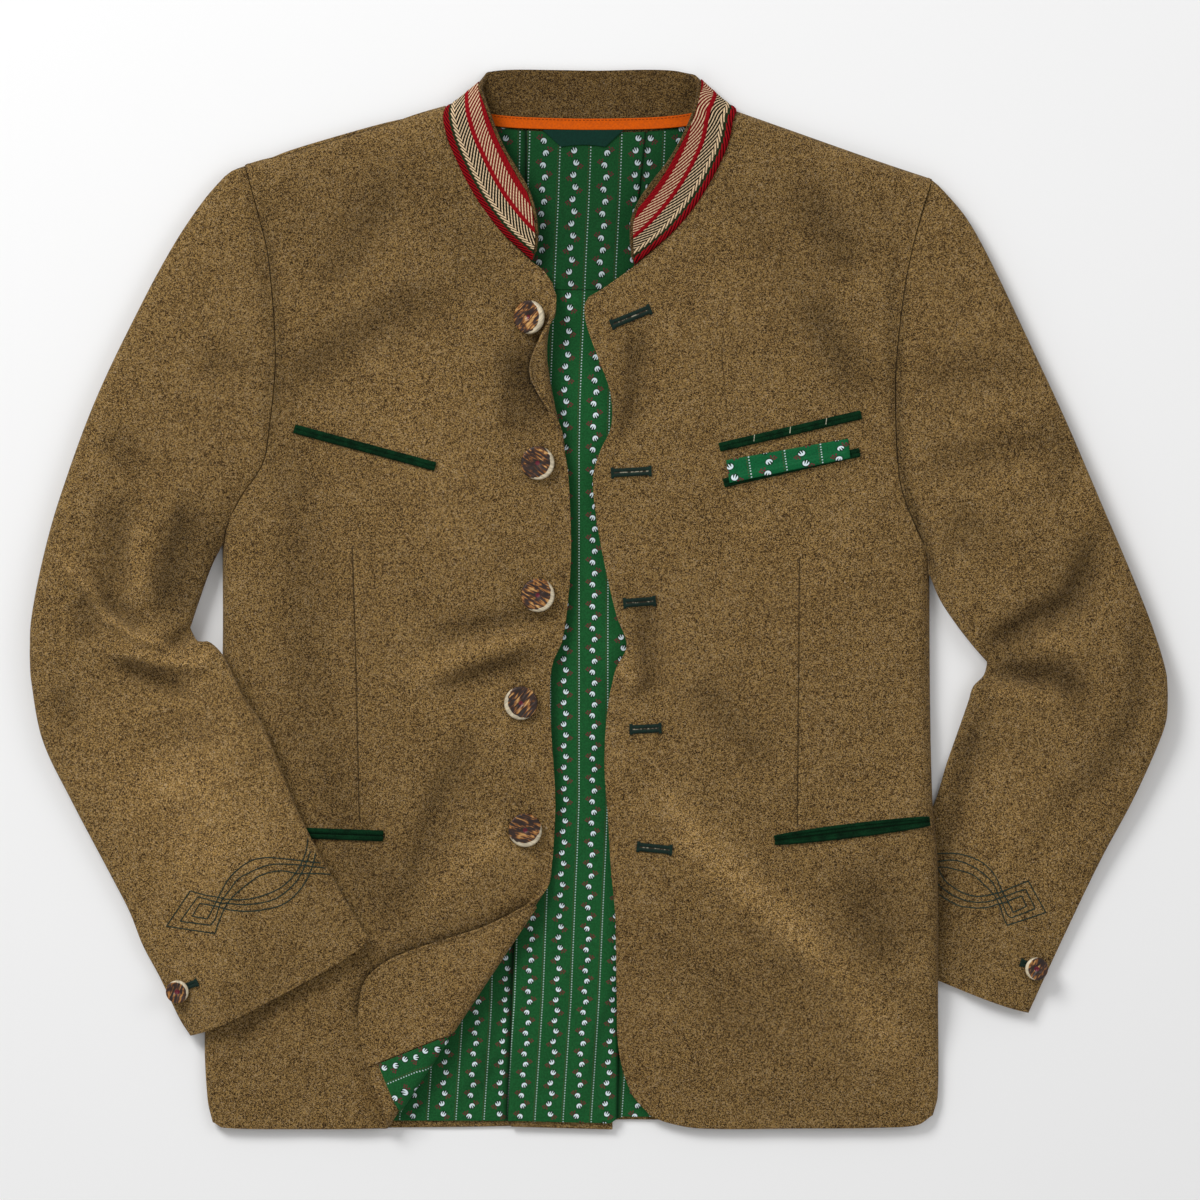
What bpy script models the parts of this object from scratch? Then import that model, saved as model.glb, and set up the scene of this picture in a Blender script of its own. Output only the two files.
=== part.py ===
"""A tyrolean loden jacket, laid face up on a flat surface and left unbuttoned.

The collar points to +Y and the buttons face +Z, so the wearer's right side lies at -X. Tables
are in millimetres: x from the middle of the jacket, y from half its height, z from the surface.
From the surface up lie the left sleeve, the back, its lining, the two fronts, the collar and
the right sleeve, whose forearm rests on the right front. The right front's lower corner is
turned back, and its edge curls over near the neck.
"""

import math

import bmesh
import bpy
from mathutils import Vector
from mathutils.bvhtree import BVHTree

MM = 0.001

# Driving sizes (mm)
CLOTH = 2.0  # wall of the loden
LINING = 1.0  # wall of the lining
TRIM = 0.8  # wall of braid, tape and piping
COLLAR = 3.0  # wall of the two-layer collar
SEAM = 0.4  # gap between pieces
SEAM_HEIGHT = 3.7  # middle of a front's wall where it meets the back
BACK_LEVEL = 1.0  # middle of the back's wall
LINING_LEVEL = 3.1  # middle of the back lining's wall
SIDE_ROLL = 11.0  # how far in from a side seam the front reaches its full height
TURN_RADIUS = 4.5  # bend of the turned-back corner and of the curled edge
BUTTON_WIDTH, BUTTON_DEPTH = 23.5, 4.6
CUFF_BUTTON_WIDTH, CUFF_BUTTON_DEPTH = 16.0, 3.8
PIPING_WIDTH = 5.2  # a welt's two lips together
BUTTONHOLE_WIDTH = 4.6
BRAID_EDGE = 0.90  # share of the collar's height that the braid covers

UP = Vector((0.0, 0.0, 1.0))


# Curves and tables


def smooth(share):
    share = min(max(share, 0.0), 1.0)
    return share * share * (3.0 - 2.0 * share)


def level(table, key):
    """The columns of a table, read between its rows; the first column rises or falls."""
    rows = table if table[0][0] < table[-1][0] else table[::-1]
    if key <= rows[0][0]:
        return rows[0][1:]
    for low, high in zip(rows, rows[1:]):
        if key <= high[0]:
            share = (key - low[0]) / (high[0] - low[0])
            return tuple(a + (b - a) * share for a, b in zip(low[1:], high[1:]))
    return rows[-1][1:]


class Line:
    """A smooth line through points. at() takes 0 to 1 along its length."""

    def __init__(self, points, by_length=True):
        self.points = [Vector(point) for point in points]
        self.stops = [0.0]
        for a, b in zip(self.points, self.points[1:]):
            self.stops.append(self.stops[-1] + ((b - a).length if by_length else 1.0))
        self.length = self.stops[-1]

    def slope(self, i):
        low, high = max(i - 1, 0), min(i + 1, len(self.points) - 1)
        return (self.points[high] - self.points[low]) / (self.stops[high] - self.stops[low])

    def at(self, share):
        reach = min(max(share, 0.0), 1.0) * self.length
        i = 0
        while i < len(self.points) - 2 and reach > self.stops[i + 1]:
            i += 1
        span = self.stops[i + 1] - self.stops[i]
        t = (reach - self.stops[i]) / span
        start, end = self.slope(i) * span, self.slope(i + 1) * span
        return (
            self.points[i] * (2 * t**3 - 3 * t**2 + 1)
            + start * (t**3 - 2 * t**2 + t)
            + self.points[i + 1] * (3 * t**2 - 2 * t**3)
            + end * (t**3 - t**2)
        )

    def moved(self, x, y):
        return Line([point + Vector((x, y)) for point in self.points])

    def turned_round(self):
        return Line(self.points[::-1])


class Chain:
    """Lines that meet at corners, each given with the share at which it ends."""

    def __init__(self, *parts):
        self.parts = parts

    def at(self, share):
        start = 0.0
        for line, end in self.parts:
            if share <= end or end == self.parts[-1][1]:
                return line.at((share - start) / (end - start))
            start = end


def patch(bottom, top, left, right):
    """A place inside four edges that meet at their ends, from shares across and up."""

    def place(u, v):
        across = bottom.at(u) * (1 - v) + top.at(u) * v
        up = left.at(v) * (1 - u) + right.at(v) * u
        low = left.at(0) * (1 - u) + right.at(0) * u
        high = left.at(1) * (1 - u) + right.at(1) * u
        return across + up - low * (1 - v) - high * v

    return place


def steps(*groups):
    """Shares from 0 to 1: each group is (share it ends at, how many equal steps)."""
    shares, start = [0.0], 0.0
    for end, count in groups:
        shares += [start + (end - start) * k / count for k in range(1, count + 1)]
        start = end
    return shares


# Meshes and materials

FINISHES = {
    # name: colour, roughness
    "loden": ((0.155, 0.105, 0.048), 0.95),
    "lining": ((0.012, 0.105, 0.035), 0.6),
    "piping": ((0.008, 0.045, 0.018), 0.8),
    "braid": ((0.36, 0.05, 0.04), 0.7),
    "tape": ((0.75, 0.16, 0.01), 0.6),
    "label": ((0.006, 0.035, 0.022), 0.5),
    "horn": ((0.055, 0.025, 0.012), 0.45),
}


def finish_of(name):
    found = bpy.data.materials.get(name)
    if found:
        return found
    colour, roughness = FINISHES[name]
    material = bpy.data.materials.new(name)
    material.use_nodes = True
    shader = material.node_tree.nodes["Principled BSDF"]
    shader.inputs["Base Color"].default_value = (*colour, 1.0)
    shader.inputs["Roughness"].default_value = roughness
    shader.inputs["Metallic"].default_value = 0.0
    return material


def add_object(name, mesh_data, finish, collection):
    mesh = bpy.data.meshes.new(name)
    mesh_data.to_mesh(mesh)
    mesh_data.free()
    mesh.materials.append(finish_of(finish))
    mesh.shade_smooth()
    mesh.set_sharp_from_angle(angle=math.radians(50))
    piece = bpy.data.objects.new(name, mesh)
    collection.objects.link(piece)
    return piece


def thicken(piece, wall, side=0.0):
    """side 0 puts the wall half on each side of the surface, and -1 puts it behind."""
    solid = piece.modifiers.new("wall", "SOLIDIFY")
    solid.thickness = wall * MM
    solid.offset = side
    solid.use_rim = True


def sheet(name, across, up, place, wall, finish, collection):
    """A cloth wall on a grid. place(i, j) gives the wall's middle in millimetres."""
    data = bmesh.new()
    columns, rows = len(across), len(up)
    bmesh.ops.create_grid(data, x_segments=columns - 1, y_segments=rows - 1, size=0.5)
    for vertex in data.verts:
        i = round((vertex.co.x + 0.5) * (columns - 1))
        j = round((vertex.co.y + 0.5) * (rows - 1))
        vertex.co = place(across[i], up[j]) * MM
    piece = add_object(name, data, finish, collection)
    thicken(piece, wall)
    return piece


def tube(name, turns, rings, place, wall, finish, collection):
    """An open-ended cloth tube. place(turn, v) gives its outside, once round by turns."""
    data = bmesh.new()
    around, along = len(turns), len(rings)
    bmesh.ops.create_grid(data, x_segments=around, y_segments=along - 1, size=0.5)
    for vertex in data.verts:
        i = round((vertex.co.x + 0.5) * around) % around
        j = round((vertex.co.y + 0.5) * (along - 1))
        vertex.co = place(turns[i], rings[j]) * MM
    bmesh.ops.remove_doubles(data, verts=data.verts, dist=1e-6)
    bmesh.ops.recalc_face_normals(data, faces=data.faces)
    middle = sum((face.calc_center_median() for face in data.faces), Vector()) / len(data.faces)
    outward = sum(
        face.normal.dot(face.calc_center_median() - middle) * face.calc_area() for face in data.faces
    )
    if outward < 0:
        bmesh.ops.reverse_faces(data, faces=data.faces)
    piece = add_object(name, data, finish, collection)
    thicken(piece, wall, side=-1.0)
    return piece


def surface_of(piece):
    """A tree that finds the top of a finished piece below any place."""
    bpy.context.view_layer.update()
    graph = bpy.context.evaluated_depsgraph_get()
    return BVHTree.FromObject(piece, graph)


def top_of(tree, x, y):
    """Height of the surface above a place, or None where there is none (mm)."""
    hit = tree.ray_cast(Vector((x * MM, y * MM, 0.2)), -UP)[0]
    return None if hit is None else hit.z / MM


def ripples(table, x, y):
    """Height that soft ridges and troughs add, each a straight run that fades at its ends."""
    total = 0.0
    for x0, y0, x1, y1, width, height in table:
        run_x, run_y = x1 - x0, y1 - y0
        length = math.hypot(run_x, run_y)
        along = ((x - x0) * run_x + (y - y0) * run_y) / length**2
        off = ((x - x0) * run_y - (y - y0) * run_x) / length
        if -0.1 < along < 1.1 and abs(off) < 3 * width:
            fade = smooth((along + 0.1) / 0.35) * smooth((1.1 - along) / 0.35)
            total += height * fade * math.exp(-((off / width) ** 2))
    return total


# The cut of the fronts: edges in plan, walked from the hem up or from the side in

RIGHT_SIDE = Line([(-270, -366), (-273.5, -350.5), (-275.5, -308.5), (-272, -224.5), (-266.5, -112.5),
                   (-263, -39), (-263, 38)])
RIGHT_ARMHOLE = Line([(-263, 38), (-262, 47), (-256.5, 60), (-249, 74.5), (-240.5, 86), (-234, 99),
                      (-230.5, 122), (-227, 157), (-227, 188.5), (-232, 242.5), (-237.5, 265.5),
                      (-246.5, 299), (-248, 303.5)])
RIGHT_SHOULDER = Line([(-248, 303.5), (-213, 314.8), (-178, 325.2), (-143, 335.2), (-107.5, 345)])
RIGHT_NECK = Line([(-107.5, 345), (-109, 332), (-102, 312), (-88.5, 285), (-69.5, 258), (-48, 237)])
RIGHT_TOP = Line([(-48, 237), (-39.5, 230.5), (-33, 221.5)])
# The front edge and hem as cut, before the lower corner is turned back
RIGHT_HEM = Line([(-270, -366), (-263.5, -370), (-209.5, -371), (-150, -370.5), (-111.5, -369), (-82, -366),
                  (-61, -359)])
RIGHT_EDGE = Line([(-33, 221.5), (-29.5, 209.5), (-23.5, 185), (-20.5, 160.5), (-18.5, 139), (-19, 114.5),
                   (-21.5, 88), (-20.5, 62.5), (-20, 29.5), (-22, -0.5), (-26, -28.5), (-32.5, -44),
                   (-34.5, -58.5), (-34, -88), (-31, -137.5), (-32, -170.5), (-34.5, -195), (-39, -221),
                   (-41.5, -252.5), (-39.5, -280.5), (-37, -308.5), (-38, -331), (-44.5, -347),
                   (-61, -359)]).turned_round()

LEFT_SIDE = Line([(232.5, -361), (236, -347), (236, -280.5), (235.5, -182.5), (232, -140.5), (230.5, -70.5),
                  (230, 17)])
LEFT_ARMHOLE = Line([(230, 17), (229, 30.5), (220, 53), (214, 68), (209.5, 86), (207, 125.5), (207.5, 166),
                     (214, 222), (223, 262), (232.5, 293.5)])
LEFT_SHOULDER = Line([(232.5, 293.5), (197, 305.3), (162, 317.6), (127, 330), (91.5, 342.5)])
LEFT_NECK = Line([(91.5, 342.5), (93.5, 334), (88.5, 314.5), (72, 283), (53, 258.5), (25.5, 234)])
LEFT_TOP = Line([(25.5, 234), (2, 217.5), (-7.5, 212)])
LEFT_HEM = Line([(232.5, -361), (223, -368), (196.5, -370), (140.5, -370.5), (70.5, -370.5), (48, -366.5),
                 (35.5, -361.5)])
LEFT_EDGE = Line([(-7.5, 212), (-10.5, 205.5), (-9, 192), (-1.5, 170.5), (7.5, 145), (8.5, 122), (0.5, 104),
                  (-4.5, 86.5), (-3, 62.5), (3, 27.5), (12, -11.5), (19, -32), (11.5, -50), (6, -74),
                  (3.5, -113), (6, -154.5), (8, -188), (11, -221.5), (12, -275.5), (13.5, -315.5),
                  (22, -345), (35.5, -361.5)]).turned_round()

UNDERARM = 0.6  # share of a front's height at the underarm
NECK_POINT = 0.50  # share of its width at the shoulder's inner end
NECK_END = 0.93  # share of its width where the collar stops

# Height of a front's wall: y, in the middle of the panel, at the front edge
RIGHT_HEIGHTS = [
    # y, middle, edge
    (345, 13.0, 13.0),
    (235, 13.5, 12.5),
    (150, 14.0, 11.6),
    (60, 14.0, 11.4),
    (-60, 13.8, 11.2),
    (-130, 12.6, 10.8),
    (-170, 10.6, 9.4),
    (-215, 8.8, 8.2),
    (-300, 7.0, 6.2),
    (-371, 5.6, 5.4),
]
LEFT_HEIGHTS = [
    # y, middle, edge
    (345, 13.0, 13.0),
    (235, 13.5, 12.5),
    (60, 14.0, 11.6),
    (-60, 14.0, 11.8),
    (-160, 13.0, 11.4),
    (-260, 11.5, 10.4),
    (-320, 9.0, 8.4),
    (-371, 5.8, 5.6),
]
RIGHT_RIPPLES = [
    # from x, from y, to x, to y, half width, height
    (-105, 215, -225, 145, 17, -3.0),
    (-140, 295, -190, 215, 16, -2.0),
    (-60, 175, -55, 110, 14, -3.0),
    (-30, -12, -120, -28, 11, -2.2),
    (-35, -22, -125, -58, 9, 2.6),
    (-45, -40, -110, -62, 9, -2.4),
    (-85, -92, -135, -215, 13, -2.6),
    (-60, -165, -120, -215, 14, 2.4),
    (-215, 120, -205, -110, 14, -1.8),
    (-215, -245, -255, -320, 15, -1.6),
]
LEFT_RIPPLES = [
    # from x, from y, to x, to y, half width, height
    (21, 180, 15, 118, 9, -3.2),
    (36, -2, 37, -70, 9, -2.4),
    (15, -45, 30, -60, 10, 2.6),
    (70, -62, 120, -118, 12, -2.4),
    (22, -118, 52, -170, 10, -2.2),
    (90, -150, 195, -315, 20, 3.0),
    (98, -225, 190, -300, 14, -1.6),
    (140, 288, 182, 225, 16, -2.4),
    (145, 205, 195, 140, 18, -2.2),
    (175, -190, 205, -260, 15, -1.4),
]

# The strip along the right front's edge that may turn: y, width of the strip, how far it turns
EDGE_BAND = [
    # y, width, share of a half turn
    (230, 20, 0.0),
    (206, 22, 0.0),
    (185, 24, 0.62),
    (161, 24, 0.92),
    (140, 23, 0.84),
    (112, 22, 0.0),
    (60, 22, 0.0),
    (-120, 22, 0.0),
    (-165, 10, 0.0),
    (-185, 5, 1.0),
    (-400, 5, 1.0),
]
# The line over which the lower corner is turned back, where its bend starts
FOLD_POINT = Vector((-45.1, -204.8))
FOLD_NORMAL = Vector((0.8335, -0.5526))
FLAP_DROOP = 3.0

# The left sleeve's forearm lies under the left front between these two lines
CUFF_CORNER = Vector((168.5, -234.5))
CUFF_INNER_EDGE = (Vector((231.5, -149.0)) - CUFF_CORNER).normalized()
CUFF_HEM = (Vector((300.5, -289.5)) - CUFF_CORNER).normalized()
UNDER_BODY = 5.6  # thickness of the sleeve there
LIFT_RUN = 48.0  # the body comes down again over this distance


def lift(x, y):
    """How far the body is raised by the sleeve beneath it."""
    reach = Vector((x, y)) - CUFF_CORNER
    past_edge = reach.x * CUFF_INNER_EDGE.y - reach.y * CUFF_INNER_EDGE.x
    past_hem = CUFF_HEM.x * reach.y - CUFF_HEM.y * reach.x
    inside = min(past_edge, past_hem)
    return (UNDER_BODY + 1.1) * smooth((inside + LIFT_RUN + 6) / LIFT_RUN)


def roll(distance, radius):
    """The height of a rolled edge, from 0 at the seam to 1 at the radius."""
    left = 1.0 - min(max(distance, 0.0) / radius, 1.0)
    return math.sqrt(max(1.0 - left * left, 0.0))


class Front:
    """One front panel: its plan, its height, and the turned strip along its edge."""

    def __init__(self, lines, heights, folds, band):
        self.side, self.armhole, shoulder, neck, top, hem, self.edge = lines
        self.shoulder, self.neck = shoulder, neck
        self.heights, self.folds, self.band = heights, folds, band
        self.outer = Chain((self.side, UNDERARM), (self.armhole, 1.0))
        upper = Chain((shoulder, NECK_POINT), (neck, NECK_END), (top, 1.0))
        self.plan = patch(hem, upper, self.outer, self.edge)

    def height(self, u, v, place):
        middle, low = level(self.heights, place.y)
        inward = (place - self.plan(1.0, v)).length
        full = low + (middle - low) * smooth(inward / 80.0)
        from_side = (place - self.outer.at(v)).length
        rolled = roll(from_side, SIDE_ROLL)
        above = smooth((v - UNDERARM) / 0.04)
        rolled = rolled + (1.0 - rolled) * above
        start, run = self.shoulder.points[0], self.shoulder.points[-1] - self.shoulder.points[0]
        below = abs((place - start).cross(run)) / run.length
        past_neck = smooth((u - NECK_POINT) / 0.08)
        at_shoulder = roll(below, SIDE_ROLL)
        rolled *= at_shoulder + (1.0 - at_shoulder) * past_neck
        folds = ripples(self.folds, place.x, place.y) * smooth(from_side / 25.0) * rolled
        return SEAM_HEIGHT + (full - SEAM_HEIGHT) * rolled + folds

    def hinge(self, v):
        """Share across a row where the turning strip starts, its width, and its turn."""
        end = self.plan(1.0, v)
        width, turn = level(self.band, end.y)
        row = (end - self.plan(0.5, v)).length * 2
        start = 1.0 - width / row
        if (end - FOLD_POINT).dot(FOLD_NORMAL) > 0 and end.y < FOLD_POINT.y:
            low, high = 0.2, 1.0
            for _ in range(24):
                half = (low + high) / 2
                beyond = (self.plan(half, v) - FOLD_POINT).dot(FOLD_NORMAL)
                low, high = (low, half) if beyond > 0 else (half, high)
            start = min(start, low)
        return start, (end - self.plan(start, v)).length, turn

    def strip(self, reach, v):
        """The turned strip at a distance from its hinge, measured along the row."""
        start, width, turn = self.hinge(v)
        foot = self.plan(start, v)
        share = start + (1.0 - start) * reach / width
        flat = self.plan(share, v)
        height = self.height(start, v, foot)
        if foot.y < -150:
            normal, beyond = FOLD_NORMAL, max((flat - FOLD_POINT).dot(FOLD_NORMAL), 0.0)
        else:
            normal, beyond = Vector((1.0, 0.0)), max(flat.x - foot.x, 0.0)
        rest = self.height(share, v, flat) if turn < 1e-3 else height
        if turn < 1e-3:
            return Vector((flat.x, flat.y, rest))
        radius = TURN_RADIUS / turn
        bent = min(beyond, math.pi * TURN_RADIUS)
        run = radius * math.sin(bent / radius)
        rise = radius * (1.0 - math.cos(bent / radius))
        straight = beyond - bent
        run += straight * math.cos(math.pi * turn)
        rise += straight * math.sin(math.pi * turn)
        droop = FLAP_DROOP * smooth(straight / 45.0)
        place = flat + normal * (run - beyond)
        return Vector((place.x, place.y, height + rise - droop))

    def point(self, column, v):
        """A column is (False, share up to the hinge) or (True, share of the strip)."""
        in_strip, share = column
        start, width, _ = self.hinge(v)
        if not in_strip:
            u = share * start
            place = self.plan(u, v)
            return Vector((place.x, place.y, self.height(u, v, place)))
        bend = min(math.pi * TURN_RADIUS / FOLD_NORMAL.x, width * 4 / 7)
        steps_in = share * 7
        reach = bend * steps_in / 4 if steps_in <= 4 else bend + (width - bend) * (steps_in - 4) / 3
        return self.strip(reach, v)


RIGHT = Front((RIGHT_SIDE, RIGHT_ARMHOLE, RIGHT_SHOULDER, RIGHT_NECK, RIGHT_TOP, RIGHT_HEM, RIGHT_EDGE),
              RIGHT_HEIGHTS, RIGHT_RIPPLES, EDGE_BAND)
LEFT = Front((LEFT_SIDE, LEFT_ARMHOLE, LEFT_SHOULDER, LEFT_NECK, LEFT_TOP, LEFT_HEM, LEFT_EDGE),
             LEFT_HEIGHTS, LEFT_RIPPLES, [(400, 20, 0.0), (-400, 20, 0.0)])

SIDE_SHARES = [0.0, 0.004, 0.014, 0.032, 0.06]
SHOULDER_SHARES = [0.976, 0.988, 0.9945, 0.9984, 1.0]
RIGHT_ROWS = [0.0] + [0.012 + 0.964 * share for share in steps((0.76, 22), (1.0, 8))] + SHOULDER_SHARES[1:]
LEFT_ROWS = [0.0] + [0.012 + 0.964 * share for share in steps((1.0, 28))] + SHOULDER_SHARES[1:]


def build_right_front(collection):
    main = SIDE_SHARES + [0.06 + 0.94 * share for share in steps((1.0, 8))[1:]]
    columns = [(False, share) for share in main] + [(True, k / 7) for k in range(1, 8)]
    return sheet("right_front", columns, RIGHT_ROWS, RIGHT.point, CLOTH, "loden", collection)


def build_left_front(collection):
    columns = SIDE_SHARES + [0.06 + 0.94 * share for share in steps((1.0, 10))[1:]]

    def place(u, v):
        spot = LEFT.plan(u, v)
        return Vector((spot.x, spot.y, LEFT.height(u, v, spot) + lift(spot.x, spot.y)))

    return sheet("left_front", columns, LEFT_ROWS, place, CLOTH, "loden", collection)


# The facing and the lining that show on the turned-back corner

FACING = 1.2  # wall
FACING_GAP = 1.4  # keeps two bent walls apart between their points
FACING_SEAM = -101.5  # x of the seam between facing and lining, as cut
FACING_TOP, LINING_FOOT = 0.256, 0.019  # shares of the front's height


def outside(front, reach, v, offset):
    """A place on the strip, moved out from its lining side."""
    here = front.strip(reach, v)
    along = front.strip(reach + 0.5, v) - here
    up = front.strip(reach, v + 0.002) - here
    return here + up.cross(along).normalized() * offset


def build_flap(front, collection):
    tree = surface_of(front)
    offset = CLOTH / 2 + FACING_GAP + FACING / 2
    bend = math.pi * TURN_RADIUS / FOLD_NORMAL.x
    first = bend / 2  # the facing starts at the outermost line of the bend

    def seam_reach(v):
        start, width, _ = RIGHT.hinge(v)
        foot, end = RIGHT.plan(start, v), RIGHT.plan(1.0, v)
        return width * (FACING_SEAM - foot.x) / (end.x - foot.x)

    def clear(spot):
        tops = [top_of(tree, spot.x + dx, spot.y + dy) for dx in (-1.5, 0, 1.5) for dy in (-1.5, 0, 1.5)]
        tops = [top for top in tops if top is not None]
        return Vector((spot.x, spot.y, max([spot.z] + [top + SEAM + FACING / 2 for top in tops])))

    def place(share, v, low, high):
        """The bend's columns are the front's own, and the rest lie evenly beyond it."""
        marks = [first, bend * 0.75, bend]
        if low > bend:
            marks = [low + (mark - first) * (high - low) / (RIGHT.hinge(v)[1] - first) for mark in marks]
        natural = marks[share] if share < 3 else marks[2] + (high - marks[2]) * (share - 2) / 4
        least = min(1.5, (high - low) / 6)
        reach = min(max(natural, low + least * share), high - least * (6 - share))
        spot = outside(RIGHT, reach, v, offset)
        return clear(spot) if reach > bend * 0.52 else spot

    def facing(share, v):
        return place(share, v, max(first, seam_reach(v) + 0.5), RIGHT.hinge(v)[1] - 1.6)

    def lining(share, v):
        return place(share, v, first, seam_reach(v) - 0.5)

    def row_at(reach):
        """The row at which the seam lies this far along the strip."""
        low, high = 0.0, 0.2
        for _ in range(30):
            half = (low + high) / 2
            low, high = (half, high) if seam_reach(half) > reach else (low, half)
        return low

    rows = [row for row in RIGHT_ROWS if row < FACING_TOP] + [FACING_TOP]
    rows = sorted(rows + [row_at(mark) for mark in (first, bend * 0.7, bend * 0.85, bend)])
    sheet("right_front_facing", list(range(7)), rows, facing, FACING, "loden", collection)
    last = row_at(first + 5.0)
    rows = [LINING_FOOT] + [row for row in RIGHT_ROWS if LINING_FOOT < row < last] + [last]
    sheet("right_front_lining", list(range(7)), rows, lining, FACING, "lining", collection)


# The back, its lining and its pleat

BACK_HEM = Line([(-270, -366), (-263, -369.5), (-209.5, -370.5), (-140, -370), (-65, -369), (-28, -367),
                 (9.5, -364.5), (42, -364.5), (63, -365), (112, -367.5), (196, -369), (223, -367),
                 (232.5, -361)])
BACK_NECK = Line([(-107.5, 345), (-98, 340), (-89.5, 336.3), (-69.5, 331.6), (-34.5, 329.2), (0.5, 329),
                  (35.5, 329.4), (63.5, 333), (79.5, 337), (91.5, 342.5)])
SHOULDER_SHARE = 0.3  # share of the back's width at each shoulder's inner end
# The lining's box pleat: y, x of its left and right folds, how far it stands up
PLEAT = [
    # y, left, right, height
    (330, -51, 32, 0.7),
    (270, -51, 26, 1.0),
    (0, -53, 20, 1.2),
    (-170, -55.5, 15, 1.3),
    (-250, -60, 13, 2.8),
    (-372, -64.5, 11.5, 2.8),
]
PLEAT_STEP = 2.4  # width of the step at each fold
LINING_HEM = [
    # x, y
    (-270, -360),
    (-210, -365),
    (-58, -365.3),
    (8, -367),
    (13.5, -362.3),
    (60, -362.5),
    (112, -364),
    (196, -365),
    (232, -357),
]
BACK_PLAN = patch(
    BACK_HEM,
    Chain((RIGHT_SHOULDER, SHOULDER_SHARE), (BACK_NECK, 1 - SHOULDER_SHARE), (LEFT_SHOULDER.turned_round(), 1.0)),
    Chain((RIGHT_SIDE, UNDERARM), (RIGHT_ARMHOLE, 1.0)),
    Chain((LEFT_SIDE, UNDERARM), (LEFT_ARMHOLE, 1.0)),
)


def back_columns(inset):
    """Columns of the back or its lining: (share across, or a fold's side of the pleat)."""
    left = [inset, 0.08, 0.19, 0.3, 0.35]
    right = [0.65, 0.7, 0.77, 0.85, 0.93, 1.0 - inset]
    columns = [("share", share) for share in left] + [("left", -0.5), ("left", 0.5)]
    columns += [("share", 0.5), ("right", -0.5), ("right", 0.5)]
    return columns + [("share", share) for share in right]


def back_spot(column, v):
    kind, value = column
    if kind == "share":
        return BACK_PLAN(value, v) + Vector((2.4 * (1 - 2 * value) * smooth((v - UNDERARM) / 0.05), 0.0))
    left, right = BACK_PLAN(0.0, v), BACK_PLAN(1.0, v)
    folds = level(PLEAT, BACK_PLAN(0.5, v).y)
    x = folds[0 if kind == "left" else 1] + value * PLEAT_STEP
    return Vector((x, BACK_PLAN((x - left.x) / (right.x - left.x), v).y))


def build_back(collection):
    def place(column, v):
        spot = back_spot(column, v)
        return Vector((spot.x, spot.y, BACK_LEVEL + lift(spot.x, spot.y)))

    rows = steps((0.08, 1), (0.4, 9), (UNDERARM, 2), (1.0, 7))
    return sheet("back", back_columns(0.0), rows, place, CLOTH, "loden", collection)


def build_back_lining(collection):
    def place(column, v):
        spot = back_spot(column, v)
        x, y = spot
        y += (level(LINING_HEM, x)[0] - back_spot(column, 0.0).y) * max(0.0, 1.0 - v / 0.08)
        at_neck = smooth((92.0 - abs(x + 8.0)) / 10.0)
        y -= (8.5 - 7.0 * at_neck) * smooth((v - 0.85) / 0.15)
        on_pleat = -0.5 * PLEAT_STEP < x - level(PLEAT, y)[0] and x - level(PLEAT, y)[1] < 0.5 * PLEAT_STEP
        inner = column in (("left", 0.5), ("right", -0.5)) or (column[0] == "share" and on_pleat)
        raised = level(PLEAT, y)[2] if inner else 0.0
        return Vector((x, y, LINING_LEVEL + raised + 1.08 * lift(x, y)))

    rows = steps((0.08, 1), (0.4, 9), (UNDERARM, 2), (1.0, 7))
    return sheet("back_lining", back_columns(0.014), rows, place, LINING, "lining", collection)


def build_pleat_underlay(collection):
    """The loden strip that lines the back's pleat, seen below the lining at the hem."""
    def place(u, v):
        y = -369.4 - 1.9 * u + v * 115.0
        left, right, _ = level(PLEAT, y)
        x = left + PLEAT_STEP + (right - left - 2 * PLEAT_STEP) * u
        return Vector((x, y, 3.6))

    return sheet("pleat_underlay", steps((1.0, 4)), steps((1.0, 4)), place, CLOTH, "loden", collection)


# The sleeves: outer and inner edge, each in two runs that meet at the elbow

RIGHT_SLEEVE_LINES = {
    "outer upper": Line([(-249, 304.5), (-258, 300.7), (-264.5, 295), (-277.5, 279.7), (-296.5, 251.5),
                         (-319.5, 209.5), (-353, 139.5), (-378.5, 69.5), (-390, 27.5), (-398, -14.5),
                         (-399, -38)]),
    "outer lower": Line([(-399, -38), (-398, -56.5), (-390, -98.5), (-370, -140.5), (-340.5, -196.5),
                         (-329, -219), (-320, -242), (-308, -264.5), (-294, -294), (-286.5, -305.5)]),
    "inner upper": Line([(-264.5, 39), (-271, 25), (-279.5, 1), (-286.5, -20)]),
    "inner lower": Line([(-286.5, -20), (-281, -29), (-273, -29.5), (-262.5, -40), (-248, -69), (-236, -86),
                         (-209, -152), (-176, -213), (-160.5, -237.5)]),
}
LEFT_SLEEVE_LINES = {
    "outer upper": Line([(235, 292.3), (242.3, 285), (257.5, 267), (274, 237.5), (300.5, 181.5),
                         (326.5, 125.5), (350.5, 69.5), (368.5, 27.5), (385.5, -14.5), (396.5, -49.5),
                         (398, -66)]),
    "outer lower": Line([(398, -66), (397, -84), (391, -102), (373.5, -140.5), (351, -182.5), (324, -238.5),
                         (300.5, -289.5)]),
    "inner upper": Line([(231.5, 16), (238.5, -0.5), (249, -16.5), (261, -32), (271.5, -44)]),
    "inner lower": Line([(271.5, -44), (269, -53), (261.5, -61), (258.5, -70.5), (244, -112.5),
                         (231.5, -149), (200, -193), (168.5, -234.5)]),
}
RIGHT_SLEEVE_HEIGHTS = [(0.0, 15), (0.1, 18), (0.3, 21), (0.5, 21), (0.62, 19), (0.8, 17), (1.0, 14.5)]
LEFT_SLEEVE_HEIGHTS = [(0.0, 15), (0.1, 18), (0.3, 21), (0.5, 21), (0.62, 18), (0.8, 12), (1.0, 10)]
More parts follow.
